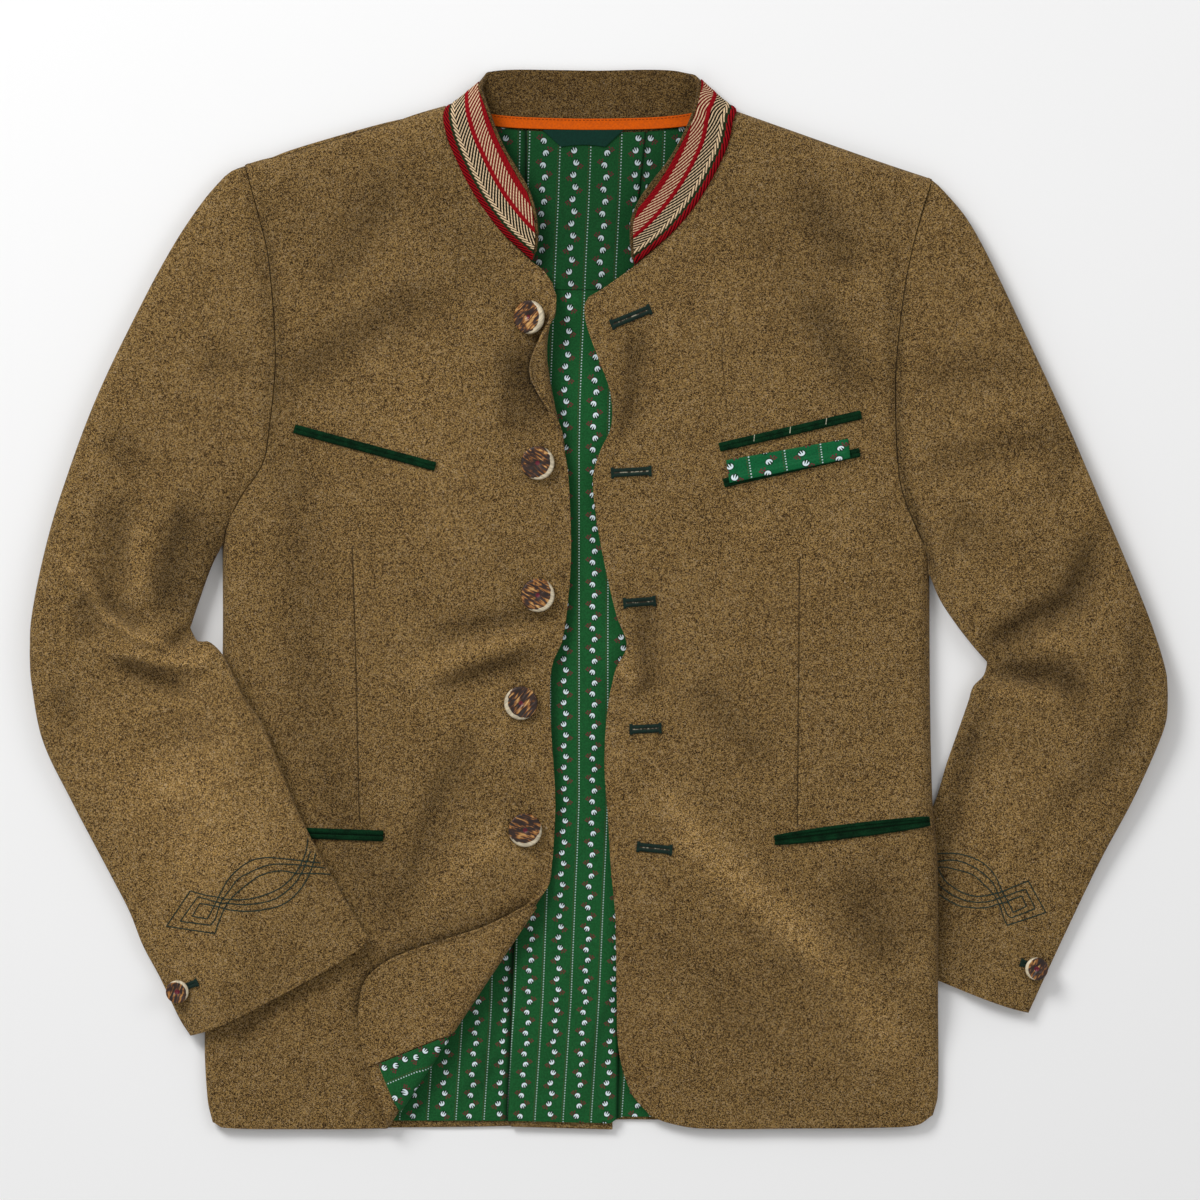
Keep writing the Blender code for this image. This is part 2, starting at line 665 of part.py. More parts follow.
RIGHT_SLEEVE_RIPPLES = [
    # from x, from y, to x, to y, half width, height
    (-286, 65, -303, -12, 13, -5.5),
    (-378, 28, -300, -33, 7, 4.0),
    (-262, -34, -345, -42, 6, 2.6),
    (-290, -58, -345, -46, 8, -3.6),
    (-342, 62, -340, 0, 12, -2.4),
    (-322, 60, -322, 0, 9, 2.0),
    (-345, 115, -315, 88, 12, -2.2),
]
LEFT_SLEEVE_RIPPLES = [
    # from x, from y, to x, to y, half width, height
    (345, 35, 272, -38, 12, -4.8),
    (275, -51, 345, -62, 8, -3.8),
    (275, -62, 330, -78, 8, 2.0),
    (230, 85, 325, 105, 13, -2.6),
    (228, 158, 310, 162, 14, -1.8),
    (382, 5, 372, -105, 11, -2.6),
    (265, 60, 245, 30, 12, -1.8),
]
# Shares from a sleeve's outer edge to its inner edge, close together where it bends round
ACROSS_SLEEVE = [0.0, 0.012, 0.05, 0.12, 0.22, 0.34, 0.46, 0.58, 0.7, 0.81, 0.9, 0.965, 1.0]
AROUND_SLEEVE = [(1, c) for c in ACROSS_SLEEVE] + [(-1, c) for c in ACROSS_SLEEVE[-2:0:-1]]
ALONG_SLEEVE = steps((0.05, 3), (0.42, 6), (0.58, 5), (1.0, 7))
SLEEVE_SEAM = 1.15  # gap beside the armhole


def sleeve_place(lines, armhole, heights, folds, under, cap, hem_bow):
    """The place function of a sleeve. under(x, y) is what it lies on, cap limits its top."""
    outer = Chain((lines["outer upper"], 0.5), (lines["outer lower"], 1.0))
    inner = Chain((lines["inner upper"], 0.5), (lines["inner lower"], 1.0))
    away = 1.0 if outer.at(0.5).x > 0 else -1.0
    down_sleeve = (outer.at(1.0) - outer.at(0.9)).normalized()

    def place(turn, v):
        side, across = turn
        seam = armhole.at(1 - across) + Vector((away * SLEEVE_SEAM, 0.0))
        chord = outer.at(0.0).lerp(inner.at(0.0), across)
        spot = outer.at(v).lerp(inner.at(v), across) + (seam - chord) * max(0.0, 1.0 - v / 0.3) ** 2
        spot = spot + down_sleeve * hem_bow * (1 - (2 * across - 1) ** 4) * smooth((v - 0.75) / 0.25)
        height = level(heights, v)[0]
        round_off = 2 * math.sqrt(max(across * (1 - across), 0.0))
        fullness = min(1.0, 1.12 * round_off**0.55)
        rest = under(spot.x, spot.y)
        top_limit = cap(spot)
        if round_off < 1e-6:
            return Vector((spot.x, spot.y, rest + min(height, top_limit - rest) / 2))
        if side < 0:
            return Vector((spot.x, spot.y, rest + min(height, top_limit - rest) / 2 * (1 - fullness)))
        wave = ripples(folds, spot.x, spot.y) * smooth(fullness) * smooth(v / 0.08)
        return Vector((spot.x, spot.y, min(rest + height / 2 * (1 + fullness) + wave, top_limit)))

    return place


def build_left_sleeve(collection):
    def cap(spot):
        """Flat where the body lies on it, and rising clear of the body's edge."""
        if spot.y > -40:
            return 60.0
        return UNDER_BODY + max(0.0, spot.x - 247.0) * 0.3 + max(0.0, spot.y + 110) * 0.4

    place = sleeve_place(LEFT_SLEEVE_LINES, LEFT_ARMHOLE, LEFT_SLEEVE_HEIGHTS, LEFT_SLEEVE_RIPPLES,
                         lambda x, y: 0.0, cap, 3.5)
    return tube("left_sleeve", AROUND_SLEEVE, ALONG_SLEEVE, place, CLOTH, "loden", collection)


def build_right_sleeve(front, collection):
    tree = surface_of(front)
    ring = [(0.0, 0.0)] + [
        (radius * math.cos(math.tau * k / 10), radius * math.sin(math.tau * k / 10))
        for radius in (8.0, 16.0, 24.0, 32.0) for k in range(10)
    ]

    def under(x, y):
        """The front's top with room to spare, and a gentle way down beside it."""
        if y > -25:
            return 0.0
        tops = [(top_of(tree, x + dx, y + dy), math.hypot(dx, dy)) for dx, dy in ring]
        return max([0.0] + [top + 1.8 - 0.4 * far for top, far in tops if top is not None])

    place = sleeve_place(RIGHT_SLEEVE_LINES, RIGHT_ARMHOLE, RIGHT_SLEEVE_HEIGHTS, RIGHT_SLEEVE_RIPPLES,
                         under, lambda spot: 60.0, 5.0)
    return tube("right_sleeve", AROUND_SLEEVE, ALONG_SLEEVE, place, CLOTH, "loden", collection)


# The collar and its trims

COLLAR_STAND = 19.5  # height of its upper edge over the fronts
RIGHT_COLLAR_EDGE = [
    # share down the neck line, upper edge x, y
    (1.0, -44.5, 244),
    (0.9, -43, 253),
    (0.78, -44, 268),
    (0.62, -48.5, 285),
    (0.48, -57, 300.5),
    (0.34, -66, 315.5),
    (0.2, -73, 331),
    (0.08, -78.5, 346.5),
]
LEFT_COLLAR_EDGE = [
    # share down the neck line, upper edge x, y
    (1.0, 22.5, 240.5),
    (0.88, 21.5, 251.5),
    (0.75, 22, 265.5),
    (0.6, 28.5, 281),
    (0.46, 37.5, 293.5),
    (0.32, 48, 307),
    (0.18, 57, 322.5),
    (0.06, 65, 341),
]
COLLAR_BACK = [
    # seam x, y, z, upper edge x, y, z
    (-105.6, 342.5, 8.0, -82.5, 358.5, 13.0),
    (-101.5, 344.0, 3.6, -80.5, 364.0, 6.0),
    (-96.5, 341.5, 1.9, -77.5, 369.0, 2.3),
    (-89.0, 338.0, 1.6, -72.0, 370.5, 1.7),
    (-69.5, 333.2, 1.6, -57.0, 371.3, 1.6),
    (-34.5, 330.8, 1.6, -31.0, 371.0, 1.6),
    (0.5, 330.6, 1.6, 0.5, 370.6, 1.6),
    (35.5, 331.0, 1.6, 31.0, 371.2, 1.6),
    (63.5, 334.6, 1.6, 50.0, 370.7, 1.6),
    (79.5, 338.8, 1.8, 60.5, 368.8, 2.0),
    (87.5, 343.2, 3.4, 67.0, 365.8, 5.5),
    (93.0, 342.0, 8.0, 69.0, 359.5, 13.0),
]


def collar_stations():
    rows = []
    for edge, neck, sign in ((RIGHT_COLLAR_EDGE, RIGHT_NECK, 1), (LEFT_COLLAR_EDGE, LEFT_NECK, -1)):
        half = []
        for share, x, y in edge:
            foot = neck.at(share)
            ahead = neck.at(min(share + 0.02, 1.0)) - neck.at(share - 0.02)
            inward = Vector((-ahead.y, ahead.x)).normalized() * sign
            foot = foot + inward * 2.4
            stand = COLLAR_STAND - 4.0 * smooth((share - 0.8) / 0.2)
            half.append((foot.x, foot.y, 13.3, x, y, stand))
        rows.append(half)
    return rows[0] + COLLAR_BACK + rows[1][::-1]


STATIONS = collar_stations()
COLLAR_SEAM = Line([row[:3] for row in STATIONS], by_length=False)
COLLAR_TOP = Line([row[3:] for row in STATIONS], by_length=False)


def collar_place(s, t):
    return COLLAR_SEAM.at(s).lerp(COLLAR_TOP.at(s), t)


def collar_normal(s, t):
    """Points away from the neck: up on the fronts and down on the back."""
    low, high = max(s - 0.002, 0.0), min(s + 0.002, 1.0)
    along = collar_place(high, t) - collar_place(low, t)
    up = collar_place(s, 1.0) - collar_place(s, 0.0)
    return up.cross(along).normalized()


def station(index):
    return index / (len(STATIONS) - 1)


def build_collar(collection):
    last = len(STATIONS) - 1
    shares = sorted({station(k / 2) for k in range(0, 2 * last + 1) if k % 2 == 0 or 12 <= k <= 42})
    sheet("collar", shares, steps((1.0, 3)), collar_place, COLLAR, "loden", collection)
    offset = COLLAR / 2 + SEAM + 0.15 + TRIM / 2
    runs = (("right_collar_braid", 0.0, station(8.6)), ("left_collar_braid", station(last - 8.6), 1.0))
    for name, start, end in runs:
        def place(share, height):
            return collar_place(share, height) + collar_normal(share, height) * offset

        run = sorted({start, end} | {share for share in shares if start < share < end})
        sheet(name, run, [0.03, 1 / 3, 2 / 3, BRAID_EDGE], place, TRIM, "braid", collection)

    def tape(s, t):
        share = station(10.2) + station(last - 10.2 - 10.2) * s
        spot = collar_place(share, -0.1 + 0.3 * t)
        return Vector((spot.x, spot.y, 5.4 - 1.6 * t))

    sheet("neck_tape", steps((1.0, 12)), steps((1.0, 1)), tape, TRIM, "tape", collection)


def build_label(collection):
    """A plain woven label under the tape, wider at its upper edge."""
    def place(u, v):
        half = 15.5 + 13.0 * v
        x = -11.5 + half * (2 * u - 1)
        return Vector((x, 315.5 + 10.5 * v - 1.5 * (2 * u - 1) ** 2 * (1 - v), 5.2))

    sheet("neck_label", steps((1.0, 4)), steps((1.0, 2)), place, 0.5, "label", collection)


# Trims that lie on a panel


def top_near(trees, x, y, reach):
    """The highest of these surfaces within reach of a place."""
    tops = [top_of(tree, x + dx, y + dy) for tree in trees for dx in (-reach, 0, reach) for dy in (-reach, 0, reach)]
    return max(top for top in tops if top is not None)


def laid_strip(name, start, end, width, wall, trees, finish, collection, cells=8, bow=0.0):
    """A narrow strip that follows the panel beneath it."""
    start, end = Vector(start), Vector(end)
    side = Vector((start.y - end.y, end.x - start.x)).normalized()

    def place(u, v):
        spot = start.lerp(end, u) + side * (width * (v - 0.5) + bow * 4 * u * (1 - u) * (v - 0.5))
        return Vector((spot.x, spot.y, top_near(trees, spot.x, spot.y, 1.6) + SEAM + wall / 2))

    return sheet(name, steps((1.0, cells)), steps((1.0, 2)), place, wall, finish, collection)


WELTS = [
    # name, panel, from x, y, to x, y, width, extra width in its middle
    ("right_chest_welt", "right", (-213.5, 119.5), (-115, 93), PIPING_WIDTH, 0.0),
    ("left_chest_welt_upper", "left", (84, 106.5), (183, 129.3), PIPING_WIDTH, 0.0),
    ("left_chest_welt_lower", "left", (87, 81.5), (182, 103), PIPING_WIDTH, 0.0),
    ("right_hip_welt", "right", (-206, -163.5), (-151.5, -165.5), 6.5, 0.0),
    ("left_hip_welt", "left", (122.5, -168.5), (221, -155.8), 6.0, 3.5),
]
BUTTONHOLES = [
    # from x, y, to x, y
    ((8, 192), (36, 203.5)),
    ((8, 88.5), (36.5, 90)),
    ((16.5, -2.7), (39.5, -1)),
    ((21, -91), (43.5, -90)),
    ((26, -173), (51, -175.5)),
]
BUTTONS = [
    # x, y, tilt about the jacket's length in degrees
    (-48, 197.5, -30),
    (-43, 95.5, -6),
    (-43, 3, -4),
    (-55, -72.5, 0),
    (-52, -161.5, 0),
]
POCKET_SQUARE = [(88.5, 97.5), (174, 112.5), (175.5, 99), (91, 81.5)]


def button_profile(width, depth):
    """A thick disc with a rounded rim, a shallow dished face and a flat underside."""
    radius = width / 2
    return [(0.0, depth - 0.5), (radius * 0.45, depth - 0.4), (radius * 0.84, depth), (radius * 0.97, depth * 0.8),
            (radius, depth * 0.45), (radius * 0.9, 0.0), (0.0, 0.0)]


def build_button(name, x, y, tilt, width, depth, trees, collection, sides=16):
    data = bmesh.new()
    profile = [data.verts.new((r * MM, 0.0, z * MM)) for r, z in button_profile(width, depth)]
    edges = [data.edges.new(pair) for pair in zip(profile, profile[1:])]
    bmesh.ops.spin(data, geom=profile + edges, cent=(0, 0, 0), axis=(0, 0, 1), angle=math.tau,
                   steps=sides, use_merge=True)
    bmesh.ops.remove_doubles(data, verts=data.verts, dist=1e-6)
    bmesh.ops.recalc_face_normals(data, faces=data.faces)
    piece = add_object(name, data, "horn", collection)
    lean = math.radians(tilt)
    seats = []
    for k in range(16):
        for far in (0.3, 0.6, 0.9):
            across = math.cos(math.tau * k / 16) * width / 2 * far
            along = math.sin(math.tau * k / 16) * width / 2 * far
            tops = [top_of(tree, x + across * math.cos(lean), y + along) for tree in trees]
            seats += [top + across * math.sin(lean) for top in tops if top is not None]
    piece.location = Vector((x, y, max(seats) + SEAM)) * MM
    piece.rotation_euler = (0.0, lean, 0.0)
    return piece


def build_trims(right, left, collection):
    panels = {"right": surface_of(right), "left": surface_of(left)}
    welts = {}
    for name, panel, start, end, width, bow in WELTS:
        welts[name] = laid_strip(name, start, end, width, 1.4, [panels[panel]], "piping", collection, bow=bow)
    for k, (start, end) in enumerate(BUTTONHOLES, 1):
        laid_strip(f"buttonhole_{k}", start, end, BUTTONHOLE_WIDTH, 0.9, [panels["left"]], "piping", collection,
                   cells=4)
    for k, (x, y, tilt) in enumerate(BUTTONS, 1):
        build_button(f"button_{k}", x, y, tilt, BUTTON_WIDTH, BUTTON_DEPTH, [panels["right"]], collection)
    square = [Vector(corner) for corner in POCKET_SQUARE]
    below = [panels["left"], surface_of(welts["left_chest_welt_lower"])]

    def place(u, v):
        spot = square[3].lerp(square[2], u).lerp(square[0].lerp(square[1], u), v)
        return Vector((spot.x, spot.y, top_near(below, spot.x, spot.y, 2.5) + SEAM + LINING / 2))

    sheet("pocket_square", steps((1.0, 8)), steps((1.0, 4)), place, LINING, "lining", collection)


CUFFS = [
    # name, button x, y, buttonhole from x, y, to x, y
    ("right_cuff", (-295.5, -274.5), (-289.5, -271.2), (-281.5, -269.2)),
    ("left_cuff", (306, -258.5), (301, -256), (295.5, -254.5)),
]


def build_cuffs(sleeves, collection):
    for (name, spot, start, end), sleeve in zip(CUFFS, sleeves):
        tree = surface_of(sleeve)
        strip = laid_strip(f"{name}_buttonhole", start, end, 5.0, 0.9, [tree], "piping", collection, cells=2)
        build_button(f"{name}_button", *spot, 0, CUFF_BUTTON_WIDTH, CUFF_BUTTON_DEPTH,
                     [tree, surface_of(strip)], collection, sides=14)


def main():
    for thing in list(bpy.data.objects):
        bpy.data.objects.remove(thing, do_unlink=True)
    collection = bpy.data.collections.new("tyrolean_jacket")
    bpy.context.scene.collection.children.link(collection)

    build_back(collection)
    build_back_lining(collection)
    build_pleat_underlay(collection)
    right = build_right_front(collection)
    left = build_left_front(collection)
    build_flap(right, collection)
    left_sleeve = build_left_sleeve(collection)
    right_sleeve = build_right_sleeve(right, collection)
    build_collar(collection)
    build_label(collection)
    build_trims(right, left, collection)
    build_cuffs((right_sleeve, left_sleeve), collection)


main()
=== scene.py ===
import math
import bmesh
import bpy
import numpy as np
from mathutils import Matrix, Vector, noise
from mathutils.bvhtree import BVHTree


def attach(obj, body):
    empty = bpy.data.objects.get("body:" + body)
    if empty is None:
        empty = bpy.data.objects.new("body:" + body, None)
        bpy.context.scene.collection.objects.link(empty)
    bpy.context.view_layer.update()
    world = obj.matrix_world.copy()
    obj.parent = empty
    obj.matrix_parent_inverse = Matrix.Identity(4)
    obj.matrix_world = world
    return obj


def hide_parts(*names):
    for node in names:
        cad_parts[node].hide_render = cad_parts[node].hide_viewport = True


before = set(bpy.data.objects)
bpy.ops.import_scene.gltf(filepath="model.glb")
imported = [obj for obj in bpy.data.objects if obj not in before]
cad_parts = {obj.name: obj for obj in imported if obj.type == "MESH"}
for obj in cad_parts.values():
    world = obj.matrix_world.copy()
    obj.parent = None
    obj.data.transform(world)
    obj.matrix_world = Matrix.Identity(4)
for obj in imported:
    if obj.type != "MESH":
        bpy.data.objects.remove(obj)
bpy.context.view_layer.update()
mm = 0.001  # every table below is in millimetres
print("frame loaded:", len(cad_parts), "nodes")


# Lines, tables and surfaces

def smooth(share):
    share = np.clip(share, 0.0, 1.0)
    return share * share * (3.0 - 2.0 * share)


def read(table, key, column=1):
    rows = np.array(sorted(table), float)
    return np.interp(key, rows[:, 0], rows[:, column])


def spread(*groups):
    # shares from 0 to 1: each group is (share it ends at, how many equal steps)
    shares, start = [0.0], 0.0
    for end, count in groups:
        shares += [start + (end - start) * k / count for k in range(1, count + 1)]
        start = end
    return np.array(shares)


def walked(points):
    # how far along a row of points each one lies
    return np.concatenate(([0.0], np.cumsum(np.linalg.norm(np.diff(points, axis=0), axis=1))))


def bell(off, width):
    return np.exp(-((off / width) ** 2))


def dome(off):
    # half a circle over -1 to 1, and nothing beyond
    return np.sqrt(np.maximum(0.0, 1 - off**2))


class Line:
    # a smooth line through points, at() takes shares of its length
    def __init__(self, points, byLength=True):
        self.points = np.array(points, float)
        last = len(self.points) - 1
        self.stops = walked(self.points) if byLength else np.arange(last + 1.0)
        low = np.maximum(np.arange(last + 1) - 1, 0)
        high = np.minimum(np.arange(last + 1) + 1, last)
        self.slopes = (self.points[high] - self.points[low]) / (self.stops[high] - self.stops[low])[:, None]

    def at(self, share):
        reach = np.clip(share, 0.0, 1.0) * self.stops[-1]
        i = np.clip(np.searchsorted(self.stops, reach, "left") - 1, 0, len(self.points) - 2)
        span = (self.stops[i + 1] - self.stops[i])[..., None]
        t = (reach - self.stops[i])[..., None] / span
        value = self.points[i] * (2 * t**3 - 3 * t**2 + 1) + self.slopes[i] * span * (t**3 - 2 * t**2 + t)
        return value + self.points[i + 1] * (3 * t**2 - 2 * t**3) + self.slopes[i + 1] * span * (t**3 - t**2)

    def turnedRound(self):
        return Line(self.points[::-1])


class Chain:
    # lines that meet at corners, each with the share at which it ends
    def __init__(self, *parts):
        self.parts = parts

    def at(self, share):
        share, start, found = np.asarray(share, float), 0.0, None
        for line, end in self.parts:
            here = line.at((share - start) / (end - start))
            found = here if found is None else np.where((share > start)[..., None], here, found)
            start = end
        return found


def patch(bottom, top, left, right):
    # a place inside four edges, from shares across and up
    corners = [left.at(0.0), right.at(0.0), left.at(1.0), right.at(1.0)]

    def place(u, v):
        u, v = np.broadcast_arrays(np.asarray(u, float), np.asarray(v, float))
        a, b = u[..., None], v[..., None]
        across = bottom.at(u) * (1 - b) + top.at(u) * b
        up = left.at(v) * (1 - a) + right.at(v) * a
        low = corners[0] * (1 - a) + corners[1] * a
        high = corners[2] * (1 - a) + corners[3] * a
        return across + up - low * (1 - b) - high * b

    return place


def folds(table, x, y, fade=0.15):
    # soft ridges and troughs along lines, as (points, half width, height) and, where one flank is
    # steeper, a skew; each fades out a little beyond its two ends
    total = np.zeros(np.shape(x))
    for points, width, height, skew in ((*row, 0.0)[:4] for row in table):
        points = np.array(points, float)
        lengths = np.linalg.norm(np.diff(points, axis=0), axis=1)
        reach, nearest, off, along = lengths.sum(), np.full(np.shape(x), 1e9), total * 0, total * 0
        start, last = 0.0, len(lengths) - 1
        for k, length in enumerate(lengths):
            run = (points[k + 1] - points[k]) / length
            dx, dy = x - points[k, 0], y - points[k, 1]
            t = dx * run[0] + dy * run[1]
            inside = np.clip(t, 0.0 if k else -fade * reach, length if k < last else length + fade * reach)
            side = dy * run[0] - dx * run[1]
            far = np.hypot(t - inside, side)
            better = far < nearest
            nearest = np.where(better, far, nearest)
            off = np.where(better, np.where(side < 0, -far, far), off)
            along = np.where(better, (start + inside) / reach, along)
            start += length
        ends = smooth((along + fade) / 0.4) * smooth((1 + fade - along) / 0.4)
        total = total + height * ends * bell(off, width * (1 + skew * np.sign(off)))
    return total


def unevenness(x, y, size, seed=0.0):
    # slow waves that keep cloth from lying dead flat
    total, lengths = np.zeros(np.shape(x)), (46.0, 61.0, 83.0, 38.0, 110.0, 72.0, 29.0)
    for k, length in enumerate(lengths):
        turn = 2.4 * k + seed
        total += np.sin((x * math.cos(turn) + y * math.sin(turn)) * math.tau / length + 1.7 * k + seed * 3)
    return total * size / len(lengths)


def offLine(lines, x, y, beyond=50.0):
    # signed distance to the nearest of these lines, far away beyond their ends
    best = np.full(np.shape(x), beyond)
    for line in lines:
        points = np.array(line, float)
        for a, b in zip(points, points[1:]):
            length = np.linalg.norm(b - a)
            run = (b - a) / length
            t = (x - a[0]) * run[0] + (y - a[1]) * run[1]
            side = (x - a[0]) * run[1] - (y - a[1]) * run[0]
            far = np.where((t >= -0.5) & (t <= length + 0.5), side, beyond)
            best = np.where(np.abs(far) < np.abs(best), far, best)
    return best


def gridOf(places, cloth, values=None, closed=False):
    # a grid of cloth: places are rows of points in millimetres, cloth is its flat position for the print
    rows, columns = places.shape[:2]
    data = bmesh.new()
    bmesh.ops.create_grid(data, x_segments=columns - 1, y_segments=rows - 1, size=0.5)
    flat = data.loops.layers.uv.new("cloth")
    layers = {name: data.verts.layers.float.new(name) for name in values or {}}
    spots = {}
    for vertex in data.verts:
        spot = (round((vertex.co.y + 0.5) * (rows - 1)), round((vertex.co.x + 0.5) * (columns - 1)))
        spots[vertex.index] = spot
        for name, layer in layers.items():
            vertex[layer] = float(values[name][spot])
    for face in data.faces:
        for loop in face.loops:
            loop[flat].uv = cloth[spots[loop.vert.index]]
    for vertex in data.verts:
        vertex.co = places[spots[vertex.index]] * mm
    if closed:
        bmesh.ops.remove_doubles(data, verts=data.verts, dist=1e-6)
        bmesh.ops.recalc_face_normals(data, faces=data.faces)
    return data


def addObject(name, data):
    piece = bpy.data.objects.new(name, data)
    bpy.context.scene.collection.objects.link(piece)
    return piece


def addMesh(name, mesh, finish, stands=(), wall=0.0, side=0.0, edge=0.0):
    # a cloth's wall is half on each side of its surface, or inside it with side -1; edge rounds its rim
    mesh.materials.clear()
    mesh.materials.append(finishes[finish])
    mesh.shade_smooth()
    piece = addObject(name, mesh)
    if wall:
        shell = piece.modifiers.new("wall", "SOLIDIFY")
        shell.thickness, shell.offset, shell.use_rim = wall * mm, side, True
    if edge:
        bevel = piece.modifiers.new("edge", "BEVEL")
        bevel.width, bevel.segments, bevel.limit_method = edge * mm, 2, "ANGLE"
        bevel.angle_limit = math.radians(58)
    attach(piece, "root")
    if stands:
        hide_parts(*stands)
    return piece


def addPiece(name, data, finish, node, wall=0.0, side=0.0, edge=0.0):
    mesh = bpy.data.meshes.new(name)
    data.to_mesh(mesh)
    data.free()
    return addMesh(name, mesh, finish, [node], wall, side, edge)


def treeOf(piece):
    bpy.context.view_layer.update()
    return BVHTree.FromObject(piece, bpy.context.evaluated_depsgraph_get())


def topOf(trees, x, y):
    # the highest of these surfaces above a place, or None
    hits = [tree.ray_cast(Vector((x * mm, y * mm, 0.2)), Vector((0, 0, -1)))[0] for tree in trees]
    tops = [hit.z / mm for hit in hits if hit is not None]
    return max(tops) if tops else None


def topsUnder(trees, place):
    return np.array([[topOf(trees, x, y) or 0.0 for x, y in row] for row in place])


# Node wiring: a Signal is a socket that formulas can use, and each operation adds a node

def operation(name, swapped=False):
    def run(*values):
        return values[0].wires.math(name, *(values[::-1] if swapped else values))

    return run


class Signal:
    __add__, __radd__ = operation("ADD"), operation("ADD", True)
    __sub__, __rsub__ = operation("SUBTRACT"), operation("SUBTRACT", True)
    __mul__, __rmul__ = operation("MULTIPLY"), operation("MULTIPLY", True)
    __truediv__, __rtruediv__ = operation("DIVIDE"), operation("DIVIDE", True)
    __pow__, __mod__ = operation("POWER"), operation("FLOORED_MODULO")
    __gt__, __lt__ = operation("GREATER_THAN"), operation("LESS_THAN")
    __abs__, floor, fraction = operation("ABSOLUTE"), operation("FLOOR"), operation("FRACT")
    sine, root, orMore = operation("SINE"), operation("SQRT"), operation("MAXIMUM")

    def __init__(self, wires, socket):
        self.wires, self.socket = wires, socket

    def ramped(self, low, high, toLow=0.0, toHigh=1.0):
        # runs smoothly from toLow to toHigh while this goes from low to high
        return self.wires.add("ShaderNodeMapRange", dict(enumerate((self, low, high, toLow, toHigh))),
                              interpolation_type="SMOOTHSTEP")

    def within(self, low, high):
        # 1 below low, 0 above high
        return 1.0 - self.ramped(low, high)


class Wiring:
    def __init__(self, tree):
        self.tree = tree

    def feed(self, socket, value):
        if isinstance(value, Signal):
            self.tree.links.new(value.socket, socket)
        else:
            socket.default_value = value

    def add(self, kind, inputs=(), output=0, **settings):
        node = self.tree.nodes.new(kind)
        for key, value in settings.items():
            setattr(node, key, value)
        for key, value in dict(inputs).items():
            self.feed(node.inputs[key], value)
        return Signal(self, node.outputs[output])

    def math(self, name, *values):
        return self.add("ShaderNodeMath", dict(enumerate(values)), operation=name)

    def vector(self, name, *values):
        return self.add("ShaderNodeVectorMath", dict(enumerate(values)), operation=name)

    def mix(self, factor, first, second, blend="MIX"):
        given = {0: factor, 6: first, 7: second}
        return self.add("ShaderNodeMix", given, 2, data_type="RGBA", blend_type=blend)

    def toned(self, factor, colour, low, high):
        # a colour that varies between two strengths of itself
        return self.mix(factor, opaque(colour, low), opaque(colour, high))

    def where(self):
        return self.add("ShaderNodeTexCoord", output="Object")

    def attribute(self, name):
        return self.add("ShaderNodeAttribute", output="Fac", attribute_name=name)

    def flat(self):
        # the place on the flat cloth, along and across, in metres
        parts = self.tree.nodes.new("ShaderNodeSeparateXYZ")
        self.feed(parts.inputs[0], self.add("ShaderNodeUVMap", uv_map="cloth"))
        return Signal(self, parts.outputs[0]), Signal(self, parts.outputs[1])

    def noise(self, scale, detail=2.0, vector=None, output="Fac", **inputs):
        values = {"Vector": vector or self.where(), "Scale": scale, "Detail": detail, **inputs}
        return self.add("ShaderNodeTexNoise", values, output)

    def bump(self, height, strength, distance):
        return self.add("ShaderNodeBump", {"Strength": strength, "Distance": distance, "Height": height})

    def ramp(self, value, stops):
        colours = self.add("ShaderNodeValToRGB", {0: value})
        elements = colours.socket.node.color_ramp.elements
        while len(elements) < len(stops):
            elements.new(0.5)
        for element, (position, colour) in zip(elements, stops):
            element.position, element.color = position, opaque(colour)
        return colours


class Finish(Wiring):
    # a material and its wiring
    def __init__(self, name, **constants):
        self.material = bpy.data.materials.new(name)
        self.material.use_nodes = True
        super().__init__(self.material.node_tree)
        self.show(Metallic=0.0, **constants)

    def show(self, **inputs):
        shader = self.tree.nodes["Principled BSDF"]
        for key, value in inputs.items():
            self.feed(shader.inputs[key.replace("_", " ")], value)
        return self.material


def opaque(colour, scale=1.0):
    return (*[min(1.0, part * scale) for part in colour], 1.0)


def newGroup(name, inputs, outputs):
    group = bpy.data.node_groups.new(name, "ShaderNodeTree")
    for label, kind, value in inputs:
        socket = group.interface.new_socket(label, in_out="INPUT", socket_type="NodeSocket" + kind)
        if value is not None:
            socket.default_value = value
    for label, kind in outputs:
        group.interface.new_socket(label, in_out="OUTPUT", socket_type="NodeSocket" + kind)
    wires = Wiring(group)
    start, end = group.nodes.new("NodeGroupInput"), group.nodes.new("NodeGroupOutput")
    return group, wires, {socket.name: Signal(wires, socket) for socket in start.outputs}, end.inputs


# Woollen flecks: short fibres of several colours felted together

wool = {
    "colours": [(0.0, (0.010, 0.005, 0.003)), (0.27, (0.034, 0.019, 0.008)), (0.44, (0.112, 0.065, 0.024)),
                (0.57, (0.215, 0.127, 0.038)), (0.72, (0.405, 0.250, 0.076)), (0.90, (0.290, 0.225, 0.150))],
    "fleckWidth": 0.54, "wander": 0.0016, "sheen": 0.04,
    # how far each seam's line and its valley reach from its middle, from and to
    "seamLine": (0.25, 0.85), "seamValley": (0.3, 4.0), "seamColour": (0.02, 0.012, 0.006),
}


